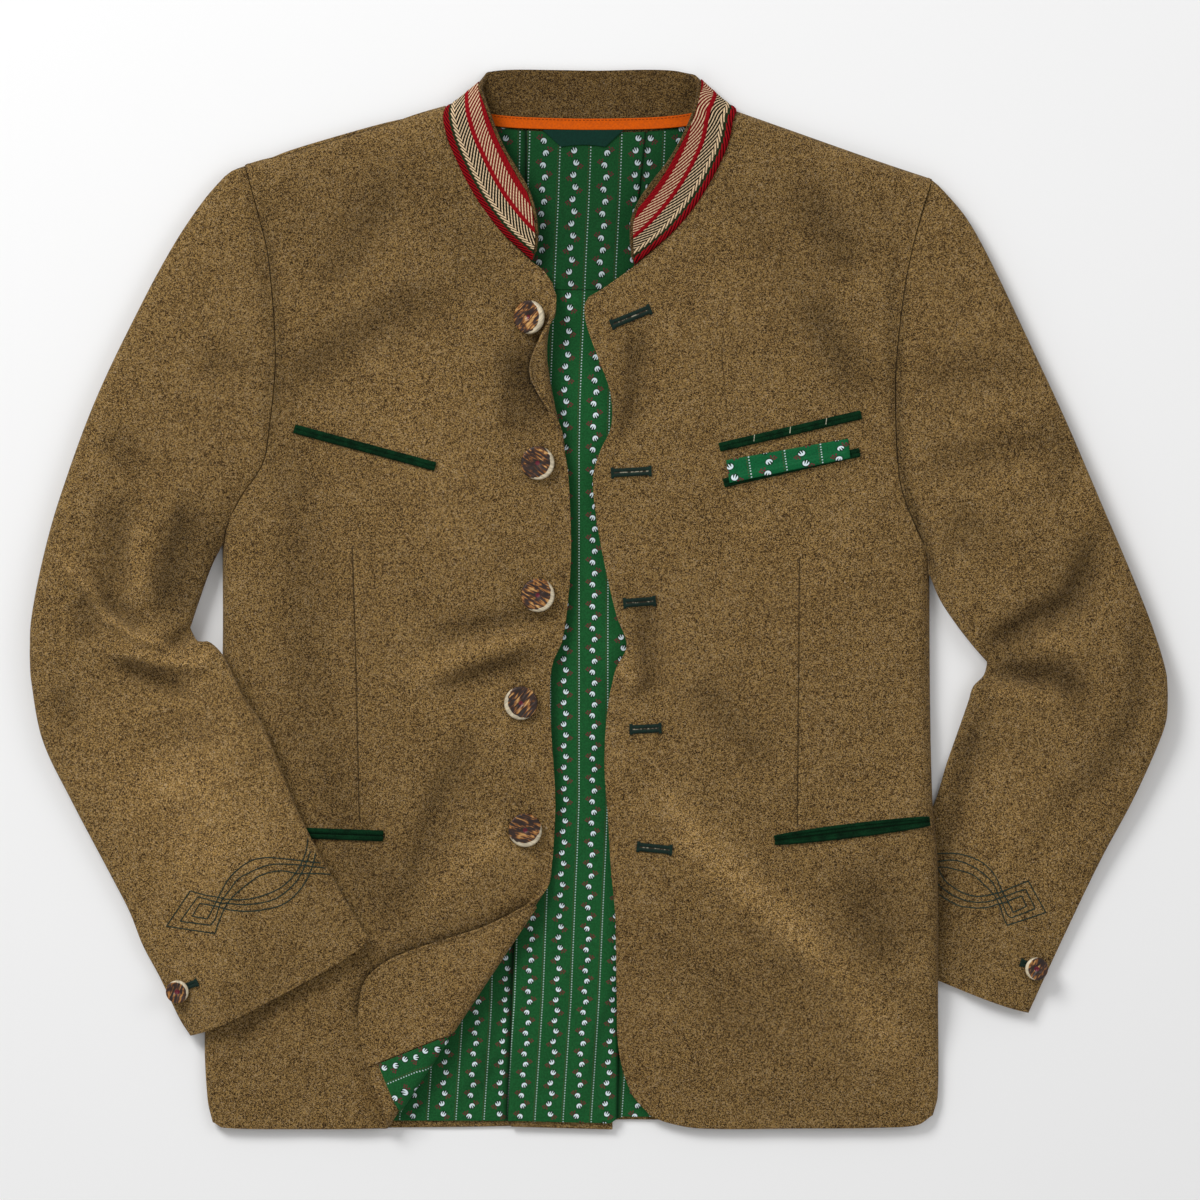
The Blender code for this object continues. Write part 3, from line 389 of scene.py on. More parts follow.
def makeWoolGroup():
    group, w, given, gives = newGroup(
        "woolFlecks",
        [("Vector", "Vector", None), ("Fleck Width", "Float", wool["fleckWidth"]), ("Depth", "Float", 1.0)],
        [("Color", "Color"), ("Height", "Float")])
    where = given["Vector"]
    size = 1000.0 / given["Fleck Width"]
    wander = w.vector("SUBTRACT", w.noise(620.0, 1.0, where, "Color"), (0.5, 0.5, 0.5))
    bent = w.vector("ADD", where, w.vector("MULTIPLY", wander, (wool["wander"],) * 3))
    aside = w.vector("ADD", bent, (0.37, 0.21, 0.11))
    large = w.add("ShaderNodeTexVoronoi", {"Vector": bent, "Scale": size}, "Color")
    small = w.add("ShaderNodeTexVoronoi", {"Vector": aside, "Scale": size * 1.7}, "Color")
    slow = w.noise(210.0, vector=where)
    patchy = w.noise(36.0, vector=where)
    shade = w.add("ShaderNodeSeparateColor", {0: large}, 0) * 0.62
    shade = shade + w.add("ShaderNodeSeparateColor", {0: small}, 1) * 0.38
    shade = shade + (slow - 0.5) * 0.25 + (patchy - 0.5) * 0.16
    w.feed(gives["Color"], w.ramp(shade, wool["colours"]))
    w.feed(gives["Height"], (shade + slow * 0.6) * given["Depth"])
    return group


woolGroup = makeWoolGroup()


def makeLoden(name, tint=(1.0, 1.0, 1.0), seams=False):
    w = Finish(name, Roughness=0.93, Sheen_Weight=wool["sheen"], Sheen_Roughness=0.55,
               Specular_IOR_Level=0.08)
    flecks = w.add("ShaderNodeGroup", node_tree=woolGroup)
    w.feed(flecks.socket.node.inputs["Vector"], w.where())
    # the wool's colour is scaled up and down by painted light and shade
    colour = w.mix(1.0, w.mix(1.0, flecks, opaque(tint), "MULTIPLY"), 1.0 + w.attribute("paintedShading"), "MULTIPLY")
    height = Signal(w, flecks.socket.node.outputs["Height"])
    if seams:
        off = abs(w.attribute("seamOff"))
        colour = w.mix(off.within(*wool["seamLine"]) * 0.72, colour, opaque(wool["seamColour"]))
        height = height - off.within(*wool["seamValley"]) ** 2.0 * 3.0
    return w.show(Base_Color=colour, Normal=w.bump(height, 0.55, 0.0004))


# The lining's print: dotted lines, and rows of small white buds with red sprigs

printed = {
    "pitch": 20.6, "bud": 7.7, "dots": 1.925, "swing": 0.84, "tilt": 0.42,
    "ground": (0.0100, 0.088, 0.023), "white": (0.72, 0.82, 0.86), "red": (0.170, 0.010, 0.034),
    "leaves": [(3.1, -1.3, 0.75, 0.55), (4.3, -2.1, 0.65, 0.6), (3.3, -3.2, 0.6, 0.7), (1.8, -2.3, 0.85, 0.5),
               (1.3, -3.7, 0.55, 0.65)],  # x, y, half width, half height
}


def makePrintGroup():
    group, w, given, gives = newGroup("budRows", [("U", "Float", 0.0), ("V", "Float", 0.0)],
                                      [("Bud", "Float"), ("Sprig", "Float"), ("Shadow", "Float")])
    pitch, bud = printed["pitch"], printed["bud"]
    row = given["U"] / pitch
    column = row.floor()
    across = (row - column - 0.5) * pitch
    # a dotted line between the rows, with fainter red dots beside it
    fromLine = pitch / 2 - abs(across)
    dot = ((given["V"] / printed["dots"]).fraction() - 0.5) * printed["dots"]
    dots = (fromLine**2.0 + dot**2.0).root().within(0.30, 0.56) * 0.72
    redDots = abs(fromLine - 1.3).within(0.12, 0.5) * (abs(dot) > 0.45) * (across > 0.0)
    # buds look up in one row and down in the next, and lean to either side in turn
    way = column % 2.0 * 2.0 - 1.0
    up = given["V"] * way / bud
    count = up.floor()
    side = 1.0 - count % 2.0 * 2.0
    y = (up - count - 0.5) * bud - 0.9
    x = across * side - printed["swing"]
    c, s = math.cos(printed["tilt"]), math.sin(printed["tilt"])
    px, py = x * c + y * -s, x * s + y * c
    far = ((px * 0.98) ** 2.0 + py**2.0).root()
    slit = abs(abs(px) - (0.66 + py * 0.10)) - py * 0.22
    slits = slit.within(0.16, 0.36) * py.ramped(-0.8, -0.3)
    petals = far.within(1.72, 2.05) * (1.0 - slits)
    rim = far.within(2.0, 2.8) * (1.0 - petals)
    leaves = None
    for leafX, leafY, wide, tall in printed["leaves"]:
        leaf = (((x - leafX) / wide) ** 2.0 + ((y - leafY) / tall) ** 2.0).root().within(0.65, 1.1)
        leaves = leaves.orMore(leaf) if leaves else leaf
    w.feed(gives["Bud"], petals.orMore(dots))
    w.feed(gives["Sprig"], leaves.orMore(redDots * 0.4))
    w.feed(gives["Shadow"], rim)
    return group


printGroup = makePrintGroup()


def makeLining(name, tint=(1.0, 1.0, 1.0), seams=False):
    w = Finish(name, Roughness=0.6, Sheen_Weight=0.0, Specular_IOR_Level=0.08)
    u, v = (part * 1000.0 for part in w.flat())
    marks = w.add("ShaderNodeGroup", {"U": u, "V": v}, node_tree=printGroup).socket.node.outputs
    mottle = w.noise(900.0)
    ground = [part * share for part, share in zip(printed["ground"], tint)]
    colour = w.toned(mottle.ramped(0.3, 0.7), ground, 0.82, 1.2)
    colour = w.mix(Signal(w, marks["Shadow"]) * 0.85, colour, (0.002, 0.012, 0.004, 1.0))
    colour = w.mix(Signal(w, marks["Sprig"]) * 0.95, colour, opaque(printed["red"]))
    colour = w.mix(Signal(w, marks["Bud"]), colour, opaque(printed["white"]))
    if seams:
        # a seam's line, with painted shade on the cloth above it, and painted shade along the creases
        above = w.attribute("seamOff")
        line = abs(above).ramped(0.2, 0.7, 0.45, 0.0) + above.ramped(-8.0, 4.0, 0.0, 0.34)
        # the seam's line, and painted shade on the cloth above the seam
        colour = w.mix(line, colour, (0.0, 0.004, 0.001, 1.0))
        colour = w.mix(w.attribute("paintedCreaseShade"), colour, (0.0, 0.003, 0.001, 1.0))
    weave = ((u + v) * 9.0).sine() + mottle * 2.0
    return w.show(Base_Color=colour, Roughness=mottle.ramped(0.2, 0.8, 0.42, 0.56),
                  Normal=w.bump(weave, 0.25, 0.00012))


def makeVelvet(name, colour):
    w = Finish(name, Roughness=0.9, Sheen_Weight=0.12, Sheen_Roughness=0.3, Specular_IOR_Level=0.05)
    brushed = w.noise(160.0)
    mixed = w.noise(1500.0, 3.0) * 0.6 + brushed * 0.4
    pile = w.toned(mixed.ramped(0.36, 0.64), colour, 0.45, 1.7)
    # the slit between a welt's lips is painted dark as shade
    pile = w.mix(w.attribute("slit") * 0.85, pile, (0.001, 0.003, 0.001, 1.0))
    return w.show(Base_Color=pile, Roughness=brushed.ramped(0.3, 0.7, 0.82, 0.96),
                  Normal=w.bump(mixed, 0.6, 0.00025))


finishes = {
    "loden": makeLoden("loden", seams=True),
    "lodenPlain": makeLoden("lodenPlain"),
    "lining": makeLining("lining"),
    "liningBack": makeLining("liningBack", seams=True),
    "liningBright": makeLining("liningBright", (0.5, 1.15, 1.4)),
    # the collar's loden, darkened throughout as painted shade
    "lodenPaintedShade": makeLoden("lodenPaintedShade", (0.54, 0.52, 0.48)),
    "piping": makeVelvet("piping", (0.0028, 0.020, 0.007)),
}
print("materials made")


# The fronts

shape = {
    "seamHeight": 3.7, "sideRoll": 11.0, "turnRadius": 4.5, "underarm": 0.6,
    "neckPoint": 0.50, "neckEnd": 0.93,
    "foldPoint": (-45.1, -204.8), "foldNormal": (0.8335, -0.5526), "flapDroop": 3.0,
    # paintedFoldShading: how strongly the folds' heights are painted into the colour as light and shade
    "cloth": 2.2, "clothEdge": 0.7, "foldDepth": 2.05, "paintedFoldShading": 0.105, "cornerBelow": -150,
    "edges": ("side", "armhole", "shoulder", "neck", "top", "hem", "edge"),
    # over how far the panel rises to full height, folds set in at its side, and the turned strip droops
    "fullRun": 80.0, "foldRun": 25.0, "droopRun": 45.0,
    # shares over which the seams' roll ends above the underarm and at the neck
    "underarmRun": 0.04, "neckRun": 0.08,
}
rightFront = {
    "side": [(-270, -366), (-273.5, -350.5), (-275.5, -308.5), (-272, -224.5), (-266.5, -112.5),
             (-263, -39), (-263, 38)],
    "armhole": [(-263, 38), (-262, 47), (-256.5, 60), (-249, 74.5), (-240.5, 86), (-234, 99), (-230.5, 122),
                (-227, 157), (-227, 188.5), (-232, 242.5), (-237.5, 265.5), (-246.5, 299), (-248, 303.5)],
    "shoulder": [(-248, 303.5), (-213, 314.8), (-178, 325.2), (-143, 335.2), (-107.5, 345)],
    "neck": [(-107.5, 345), (-109, 332), (-102, 312), (-88.5, 285), (-69.5, 258), (-48, 237)],
    "top": [(-48, 237), (-39.5, 230.5), (-33, 221.5)],
    "hem": [(-270, -366), (-263.5, -370), (-209.5, -371), (-150, -370.5), (-111.5, -369), (-82, -366),
            (-61, -359)],
    "edge": [(-61, -359), (-44.5, -347), (-38, -331), (-37, -308.5), (-39.5, -280.5), (-41.5, -252.5),
             (-39, -221), (-34.5, -195), (-32, -170.5), (-31, -137.5), (-34, -88), (-34.5, -58.5),
             (-32.5, -44), (-26, -28.5), (-22, -0.5), (-20, 29.5), (-20.5, 62.5), (-22, 88), (-24, 102),
             (-25.5, 114), (-25.8, 125), (-24.5, 134), (-22.9, 144), (-21.5, 154), (-21.1, 163),
             (-22.2, 171), (-23.8, 182), (-24.6, 192), (-28.6, 203), (-31, 213), (-33, 221.5)],
    # y, middle of the wall in the middle of the panel, and at the front edge
    "heights": [(345, 13.0, 13.0), (235, 13.5, 12.5), (150, 14.0, 11.6), (60, 14.0, 11.4), (-60, 13.8, 11.2),
                (-130, 12.6, 10.8), (-170, 10.6, 9.4), (-215, 8.8, 8.2), (-300, 7.0, 6.2), (-371, 5.6, 5.4)],
    # y, width of the strip along the edge that turns, share of a half turn
    "turns": [(230, 12, 0.0), (213, 12, 0.0), (203, 11.5, 0.40), (192, 15.5, 0.73), (182, 16.8, 0.90),
              (171, 19.8, 0.95), (163, 21.5, 0.96), (154, 20.8, 0.96), (144, 17.6, 0.95), (134, 13.8, 0.92),
              (125, 10.8, 0.70), (115, 10, 0.30), (104, 12, 0.0), (60, 22, 0.0), (-120, 22, 0.0),
              (-165, 10, 0.0), (-185, 5, 1.0), (-400, 5, 1.0)],
    "folds": [
        # line, half width, height, and how much steeper one flank is
        ([(-105, 215), (-165, 185), (-225, 145)], 17, -3.0, 0.1),
        ([(-140, 295), (-190, 215)], 16, -2.0),
        ([(-60, 175), (-55, 110)], 14, -3.0, 0.2),
        ([(-30, -12), (-120, -28)], 11, -2.2, 0.2),
        ([(-35, -22), (-80, -38), (-125, -58)], 9, 2.6, -0.2),
        ([(-45, -40), (-110, -62)], 9, -2.4, 0.1),
        ([(-85, -92), (-112, -140), (-135, -215)], 13, -2.6, 0.2),
        ([(-60, -165), (-120, -215)], 14, 2.4),
        ([(-215, 120), (-205, -110)], 14, -1.8),
        ([(-215, -245), (-255, -320)], 15, -1.6),
    ],
    # strokes of painted light and shade: line, half width, strength
    "paintedShading": [
        ([(-245, 255), (-189, 276), (-119, 294)], 42, -0.13),
        ([(-117, 315), (-96, 252), (-70, 210)], 22, -0.16),
        ([(-61, 220), (-58, 161), (-44, 112)], 7, -0.16),
        ([(-154, 168), (-105, 84), (-126, 28)], 38, 0.1),
        ([(-199, 84), (-194, -28), (-185, -126)], 14, -0.12),
        ([(-196, -98), (-178, -161), (-136, -235)], 20, -0.25),
        ([(-38, -11), (-112, -16)], 6, -0.13),
        ([(-36, -27), (-100, -34), (-150, -58)], 6, 0.15),
        ([(-34, -42), (-110, -50)], 6, -0.17),
        ([(-70, -64), (-140, -82)], 9, 0.08),
        ([(-119, -84), (-38, -95)], 22, 0.13),
        ([(-84, -186), (-35, -175)], 18, 0.12),
        ([(-140, -308), (-105, -259)], 20, 0.08),
        ([(-236, 280), (-223, 182), (-231, 91)], 5, -0.25),
    ],
    "darts": [[(-173, 38), (-170, -60), (-168.5, -140), (-167.5, -158)]],
    "flat": (0.30, 0.74), "area": 0.157,
}
leftFront = {
    "side": [(232.5, -361), (236, -347), (236, -280.5), (235.5, -182.5), (232, -140.5), (230.5, -70.5),
             (230, 17)],
    "armhole": [(230, 17), (229, 30.5), (220, 53), (214, 68), (209.5, 86), (207, 125.5), (207.5, 166),
                (214, 222), (223, 262), (232.5, 293.5)],
    "shoulder": [(232.5, 293.5), (197, 305.3), (162, 317.6), (127, 330), (91.5, 342.5)],
    "neck": [(91.5, 342.5), (93.5, 334), (88.5, 314.5), (72, 283), (53, 258.5), (25.5, 234)],
    "top": [(25.5, 234), (2, 217.5), (-7.5, 212)],
    "hem": [(232.5, -361), (223, -368), (196.5, -370), (140.5, -370.5), (70.5, -370.5), (48, -366.5),
            (35.5, -361.5)],
    "edge": [(35.5, -361.5), (22, -345), (13.5, -315.5), (12, -275.5), (11, -221.5), (8, -188), (6, -154.5),
             (3.5, -113), (6, -74), (11.5, -50), (19, -32), (12, -11.5), (3, 27.5), (-3, 62.5), (-4.5, 86.5),
             (0.5, 104), (8.5, 122), (7.5, 145), (-1.5, 170.5), (-9, 192), (-10.5, 205.5), (-7.5, 212)],
    "heights": [(345, 13.0, 13.0), (235, 13.5, 12.5), (60, 14.0, 11.6), (-60, 14.0, 11.8), (-160, 13.0, 11.4),
                (-260, 11.5, 10.4), (-320, 9.0, 8.4), (-371, 5.8, 5.6)],
    "turns": [(400, 20, 0.0), (-400, 20, 0.0)],
    "folds": [
        ([(27, 190), (26, 150), (18, 110)], 9, -3.1),
        ([(34, 0), (37, -70)], 9, -3.2),
        ([(15, -45), (30, -60)], 10, 2.6),
        ([(70, -62), (120, -118)], 12, -2.4),
        ([(22, -118), (52, -170)], 10, -2.2),
        ([(20, -120), (60, -160), (118, -219), (175, -275), (215, -325)], 15, 3.0),
        ([(98, -225), (190, -300)], 14, -1.6),
        ([(140, 288), (182, 225)], 16, -2.4),
        ([(145, 205), (195, 140)], 18, -2.2),
        ([(175, -190), (205, -260)], 15, -1.4),
    ],
    # strokes of painted light and shade: line, half width, strength
    "paintedShading": [
        ([(102, 304), (161, 269), (210, 252)], 34, -0.12),
        ([(86, 301), (114, 252), (161, 189), (175, 140)], 12, -0.16),
        ([(91, 56), (182, 28)], 48, 0.09),
        ([(17, -126), (118, -219), (219, -320)], 15, 0.16),
        ([(175, -175), (210, -252)], 36, -0.2),
        ([(35, -231), (126, -315)], 24, -0.12),
        ([(28, 189), (26, 112)], 7, -0.06),
        ([(205, 252), (205, 140), (214, 70)], 5, -0.28),
        ([(70, -347), (210, -350)], 14, -0.06),
    ],
    "darts": [[(140, 31), (138.5, -160)]],
    "flat": (0.26, 0.73), "area": 0.150,
}
lifted = {
    "corner": (168.5, -234.5), "edgeTo": (231.5, -149.0), "hemTo": (300.5, -289.5), "height": 6.7,
    "run": 48.0, "beyond": 6,
}


def lift(x, y):
    # how far the body is raised by the sleeve beneath it
    corner = np.array(lifted["corner"])
    edge, hem = (np.array(lifted[key]) - corner for key in ("edgeTo", "hemTo"))
    edge, hem = edge / np.linalg.norm(edge), hem / np.linalg.norm(hem)
    dx, dy = x - corner[0], y - corner[1]
    inside = np.minimum(dx * edge[1] - dy * edge[0], hem[0] * dy - hem[1] * dx)
    return lifted["height"] * smooth((inside + lifted["run"] + lifted["beyond"]) / lifted["run"])


def rolledOver(distance):
    # how far up the cloth is at some distance from a seam that it rolls over
    return dome(1.0 - np.clip(distance / shape["sideRoll"], 0.0, 1.0))


class Front:
    def __init__(self, cut):
        self.cut = cut
        self.lines = lines = {name: Line(cut[name]) for name in shape["edges"]}
        self.outer = Chain((lines["side"], shape["underarm"]), (lines["armhole"], 1.0))
        upper = Chain((lines["shoulder"], shape["neckPoint"]), (lines["neck"], shape["neckEnd"]),
                      (lines["top"], 1.0))
        self.plan = patch(lines["hem"], upper, self.outer, lines["edge"])

    def height(self, u, v, place):
        x, y = place[..., 0], place[..., 1]
        middle, low = read(self.cut["heights"], y, 1), read(self.cut["heights"], y, 2)
        inward = np.linalg.norm(place - self.plan(np.ones(np.shape(u)), v), axis=-1)
        full = low + (middle - low) * smooth(inward / shape["fullRun"])
        fromSide = np.linalg.norm(place - self.outer.at(np.broadcast_to(v, np.shape(u))), axis=-1)
        rolled = rolledOver(fromSide)
        rolled = rolled + (1.0 - rolled) * smooth((v - shape["underarm"]) / shape["underarmRun"])
        start, end = self.lines["shoulder"].points[[0, -1]]
        run = end - start
        below = np.abs((x - start[0]) * run[1] - (y - start[1]) * run[0]) / np.linalg.norm(run)
        atShoulder = rolledOver(below)
        pastNeck = smooth((u - shape["neckPoint"]) / shape["neckRun"])
        rolled = rolled * (atShoulder + (1.0 - atShoulder) * pastNeck)
        waves = shape["foldDepth"] * folds(self.cut["folds"], x, y) + unevenness(x, y, 1.0)
        waves = waves * smooth(fromSide / shape["foldRun"]) * rolled
        return shape["seamHeight"] + (full - shape["seamHeight"]) * rolled + waves

    def pastFold(self, place):
        return (place - np.array(shape["foldPoint"])) @ np.array(shape["foldNormal"])

    def hinge(self, v):
        # where the strip along the edge starts to turn, its width, and how far it turns
        end = self.plan(np.ones(len(v)), v)
        width, turn = read(self.cut["turns"], end[:, 1], 1), read(self.cut["turns"], end[:, 1], 2)
        start = 1.0 - width / (2 * np.linalg.norm(end - self.plan(np.full(len(v), 0.5), v), axis=1))
        for _ in range(5):
            start = 1.0 - (1.0 - start) * width / np.abs(end - self.plan(start, v))[:, 0]
        if self.cut is rightFront:
            low, high = np.full(len(v), 0.2), np.ones(len(v))
            for _ in range(24):
                half = (low + high) / 2
                over = self.pastFold(self.plan(half, v)) > 0
                low, high = np.where(over, low, half), np.where(over, half, high)
            folded = (self.pastFold(end) > 0) & (end[:, 1] < shape["foldPoint"][1])
            start = np.where(folded, np.minimum(start, low), start)
        return start, np.linalg.norm(end - self.plan(start, v), axis=1), turn

    def strip(self, reach, v):
        # the strip along the edge, with rows of distances from its hinge: its places and their flat position
        start, width, turn = self.hinge(v)
        foot = self.plan(start, v)
        share = start[:, None] + (1.0 - start[:, None]) * reach / width[:, None]
        rows = np.broadcast_to(v[:, None], reach.shape)
        flat = self.plan(share, rows)
        corner = (foot[:, 1] < shape["cornerBelow"])[:, None]
        beyond = np.where(corner, self.pastFold(flat), flat[..., 0] - foot[:, None, 0])
        beyond = np.maximum(beyond, 0.0)
        normal = np.where(corner[..., None], np.array(shape["foldNormal"]), np.array((1.0, 0.0)))
        turned = np.maximum(turn, 1e-3)[:, None]
        radius = shape["turnRadius"] / turned
        bent = np.minimum(beyond, math.pi * shape["turnRadius"])
        straight = beyond - bent
        run = radius * np.sin(bent / radius) + straight * np.cos(math.pi * turned)
        rise = radius * (1.0 - np.cos(bent / radius)) + straight * np.sin(math.pi * turned)
        droop = shape["flapDroop"] * smooth(straight / shape["droopRun"])
        place = flat + normal * (run - beyond)[..., None]
        height = self.height(start, v, foot)[:, None] + rise - droop
        still = (turn < 2e-3)[:, None, None]
        unturned = np.dstack((flat, self.height(share, rows, flat)))
        return np.where(still, unturned, np.dstack((place, height))), flat

    def grid(self, main, strip, rows, extra=None):
        start, width, _ = self.hinge(rows)
        u = main[None, :] * start[:, None]
        v = np.broadcast_to(rows[:, None], u.shape)
        place = self.plan(u, v)
        body = np.dstack((place, self.height(u, v, place)))
        bend = np.minimum(math.pi * shape["turnRadius"] / shape["foldNormal"][0], width * 4 / 7)[:, None]
        reach = np.where(strip < 0.5, bend * strip / 0.5,
                         bend + (width[:, None] - bend) * (strip - 0.5) / 0.5)
        turned, flat = self.strip(reach, rows)
        places = np.concatenate((body, turned), 1)
        if extra is not None:
            places[..., 2] += extra(places[..., 0], places[..., 1])
        return places, np.concatenate((place, flat), 1)


right, left = Front(rightFront), Front(leftFront)
sideShares = np.array([0.0, 0.002, 0.005, 0.009, 0.014, 0.02, 0.027, 0.035, 0.044, 0.054])
mainShares = np.concatenate((sideShares, spread((1.0, 84))[1:] * 0.94 + 0.06))
stripShares = spread((0.5, 14), (1.0, 20))[1:]
topShares = [0.98, 0.984, 0.988, 0.9915, 0.9945, 0.9965, 0.9984, 1.0]
frontRows = np.concatenate((spread((1.0, 210)) * 0.976, topShares))


def paintedShadingOf(cut, places):
    # painted light and shade: lighter on the folds' ridges and darker in their troughs, plus the listed
    # strokes of painted light and shade
    x, y = places[..., 0], places[..., 1]
    return shape["paintedFoldShading"] * folds(cut["folds"], x, y) + folds(cut["paintedShading"], x, y)


turnBack = {
    # the edges that turn back: from and to along the jacket, width and depth of the painted shade beside
    # them, and how far down it goes; contact is a narrow painted shadow right at the edge, and rim the strip
    # of painted highlight along it
    "lapel": (116, 205, 6.0, 0.30, 116), "corner": (-1000, -180, 7.5, 0.34, -400),
    "contact": (1.7, 0.34), "stitch": (2.1, 0.5), "rim": 1.5, "samples": 260,
}


def turnedEdge(places, flat, paintedShading):
    # a stitched line and a strip of painted highlight along the edges that turn back, and painted shade on
    # the cloth they lie over
    reach = np.linalg.norm(np.diff(places, axis=1), axis=2)[:, ::-1].cumsum(axis=1)[:, ::-1]
    fromEdge = np.concatenate((reach, np.zeros((len(places), 1))), 1)
    under = np.arange(places.shape[1])[None, :] < len(mainShares)
    y, flatEnd = places[..., 1], flat[:, -1, 1]
    closeness, closeShade = turnBack["contact"]
    for first, last, wide, dark, shut in (turnBack["lapel"], turnBack["corner"]):
        rows = (flatEnd > first) & (flatEnd < last)
        edge = places[rows, -1, :2]
        steps = np.linspace(0, len(edge) - 1, turnBack["samples"])
        off = np.full(places.shape[:2], 1e3)
        for edgeX, edgeY in zip(*(np.interp(steps, np.arange(len(edge)), edge[:, k]) for k in (0, 1))):
            off = np.minimum(off, np.hypot(places[..., 0] - edgeX, y - edgeY))
        shade = dark * bell(off, wide) + closeShade * bell(off, closeness)
        paintedShading = paintedShading - np.where(under, shade, 0.0) * smooth((y - shut) / 12)
    low, high = turnBack["lapel"][:2]
    near = smooth((y - low + 4) / 10) * smooth((high + 1 - y) / 10)
    near = np.where((flatEnd < turnBack["corner"][1])[:, None], 1.0, near)
    place, width = turnBack["stitch"]
    stitchAndRimHighlight = -0.5 * near * bell(fromEdge - place, width) + 0.12 * near * (fromEdge < turnBack["rim"])
    return paintedShading + np.where(under, 0.0, stitchAndRimHighlight)


def makeFront(name, front, node, extra=None):
    places, flat = front.grid(mainShares, stripShares, frontRows, extra)
    seam = offLine(front.cut["darts"], flat[..., 0], flat[..., 1])
    # painted light and shade from the folds and strokes, and on the right front beside its turned edge
    paintedShading = paintedShadingOf(front.cut, places)
    if front is right:
        paintedShading = turnedEdge(places, flat, paintedShading)
    data = gridOf(places, flat * mm, {"seamOff": seam, "paintedShading": paintedShading})
    return addPiece(name, data, "loden", node, shape["cloth"], 0.0, shape["clothEdge"])


frontRight = makeFront("front_right", right, "right_front")
frontLeft = makeFront("front_left", left, "left_front", lift)
print("fronts made")


# The back, its lining and its box pleat

back = {
    "level": 1.0, "wall": 1.8, "drawIn": 1.4, "shoulderShare": 0.3,
    "seams": [[(-2, 330), (-6, -366)]],
    "hem": [(-270, -366), (-263, -369.5), (-209.5, -370.5), (-140, -370), (-65, -369), (-28, -367),
            (9.5, -364.5), (42, -364.5), (63, -365), (112, -367.5), (196, -369), (223, -367), (232.5, -361)],
    "neck": [(-107.5, 345), (-98, 340), (-89.5, 336.3), (-69.5, 331.6), (-34.5, 329.2), (0.5, 329),
             (35.5, 329.4), (63.5, 333), (79.5, 337), (91.5, 342.5)],
    "flat": (0.54, 0.74), "area": 0.345,
}
backLining = {
    "yoke": 217.0, "level": 3.1, "wall": 0.9, "inset": 0.014, "drawIn": 2.4, "overLift": 1.08,
    # y, left fold, right fold, how far the pleat stands up
    "pleat": [(330, -51, 32, 0.7), (270, -51, 26, 1.0), (0, -53, 20, 1.2), (-170, -55.5, 15, 1.3),
              (-250, -60, 13, 2.8), (-372, -64.5, 11.5, 2.8)],
    "underPleat": 1.8, "pleatOver": 0.3, "troughs": -0.25,
    # the neck's middle and half width, how far short the lining stops, and how much less at the neck
    "atNeck": (-8.0, 92.0, 8.5, 7.0),
    # painted shade beside the pleat's left and right fold, as strength and width, and the strength of the
    # creases' painted shade
    "foldShades": ((0.85, 2.0), (0.6, 1.4)), "creaseTone": 0.30,
    "hem": [(-270, -360), (-210, -365), (-58, -365.3), (8, -367), (13.5, -362.3), (60, -362.5), (112, -364),
            (196, -365), (232, -357)],
    # one dotted line down the back, as it hangs, and the print's spacing there
    "printLine": [(340, -5.5), (318, -6), (280, -7.4), (238, -9.5), (189, -11.6), (140, -13.7), (105, -14.3),
                  (-140, -14.3), (-182, -15.8), (-196, -16.5), (-280, -20), (-364, -25.5)],
    "pitchAt": [(-280, 19.7), (0, 20.2), (210, 21.2), (300, 21.5)],
    "budAt": [(-280, 7.28), (0, 7.7), (280, 8.54)],
    # y, how far the print is offset beyond the left and right fold, in spacings
    "jumps": [(-300, -0.19, -0.08), (-150, -0.10, -0.12), (320, 0.32, -0.40)],
    "folds": [
        ([(-52, 40), (-40, -60), (-44, -150)], 7, 0.5),
        ([(-20, -250), (-48, -320)], 7, 1.1, 0.3),
        ([(-6, -262), (-34, -350)], 6, -0.8),
        ([(2, -280), (-12, -355)], 5, 0.9),
        ([(-90, -270), (-72, -350)], 7, 0.8),
        ([(40, -250), (36, -350)], 9, 0.7),
        ([(-30, 300), (-26, 200)], 8, 0.6),
        ([(10, 290), (4, 190)], 7, 0.5),
    ],
    # lines of painted shade along the creases
    "creases": [
        ([(-66, -268), (-84, -330), (-100, -352)], 3, 1.0, 0.3),
        ([(-70, -318), (-88, -352)], 2.2, 1.2),
        ([(26, -240), (-2, -300), (-10, -350)], 4, 0.6, 0.3),
        ([(-20, -170), (-34, -260)], 5, 0.4),
    ],
    "flat": (0.60, 0.72), "area": 0.36,
}
backPlan = patch(
    Line(back["hem"]),
    Chain((right.lines["shoulder"], back["shoulderShare"]), (Line(back["neck"]), 1 - back["shoulderShare"]),
          (left.lines["shoulder"].turnedRound(), 1.0)),
    right.outer, left.outer)


def makeBack():
    u, v = np.meshgrid(spread((1.0, 96)), spread((0.05, 10), (1.0, 130)))
    place = backPlan(u, v)
    place[..., 0] += back["drawIn"] * (1 - 2 * u) * smooth((v - shape["underarm"]) / 0.05)
    height = back["level"] + lift(place[..., 0], place[..., 1])
    seam = offLine(back["seams"], place[..., 0], place[..., 1])
    data = gridOf(np.dstack((place, height)), place * mm, {"seamOff": seam})
    return addPiece("back_panel", data, "loden", "back", back["wall"], 0.0, 0.6)


printRows = np.linspace(-400, 360, 761)
printReach = np.cumsum(printed["bud"] / read(backLining["budAt"], printRows)) - 300.0


def printPlace(x, y, region):
    # where a place of the back lining lies in the print; region is -1, 0 or 1 for left of, in and
    # right of the pleat
    jumps = [read(backLining["jumps"], y, column) for column in (1, 2)]
    offset = np.where(region < 0, jumps[0], np.where(region > 0, jumps[1], 0.0))
    u = (x - read(backLining["printLine"], y)) / read(backLining["pitchAt"], y) + offset
    return np.stack((u * printed["pitch"], np.interp(y, printRows, printReach)), -1) * mm


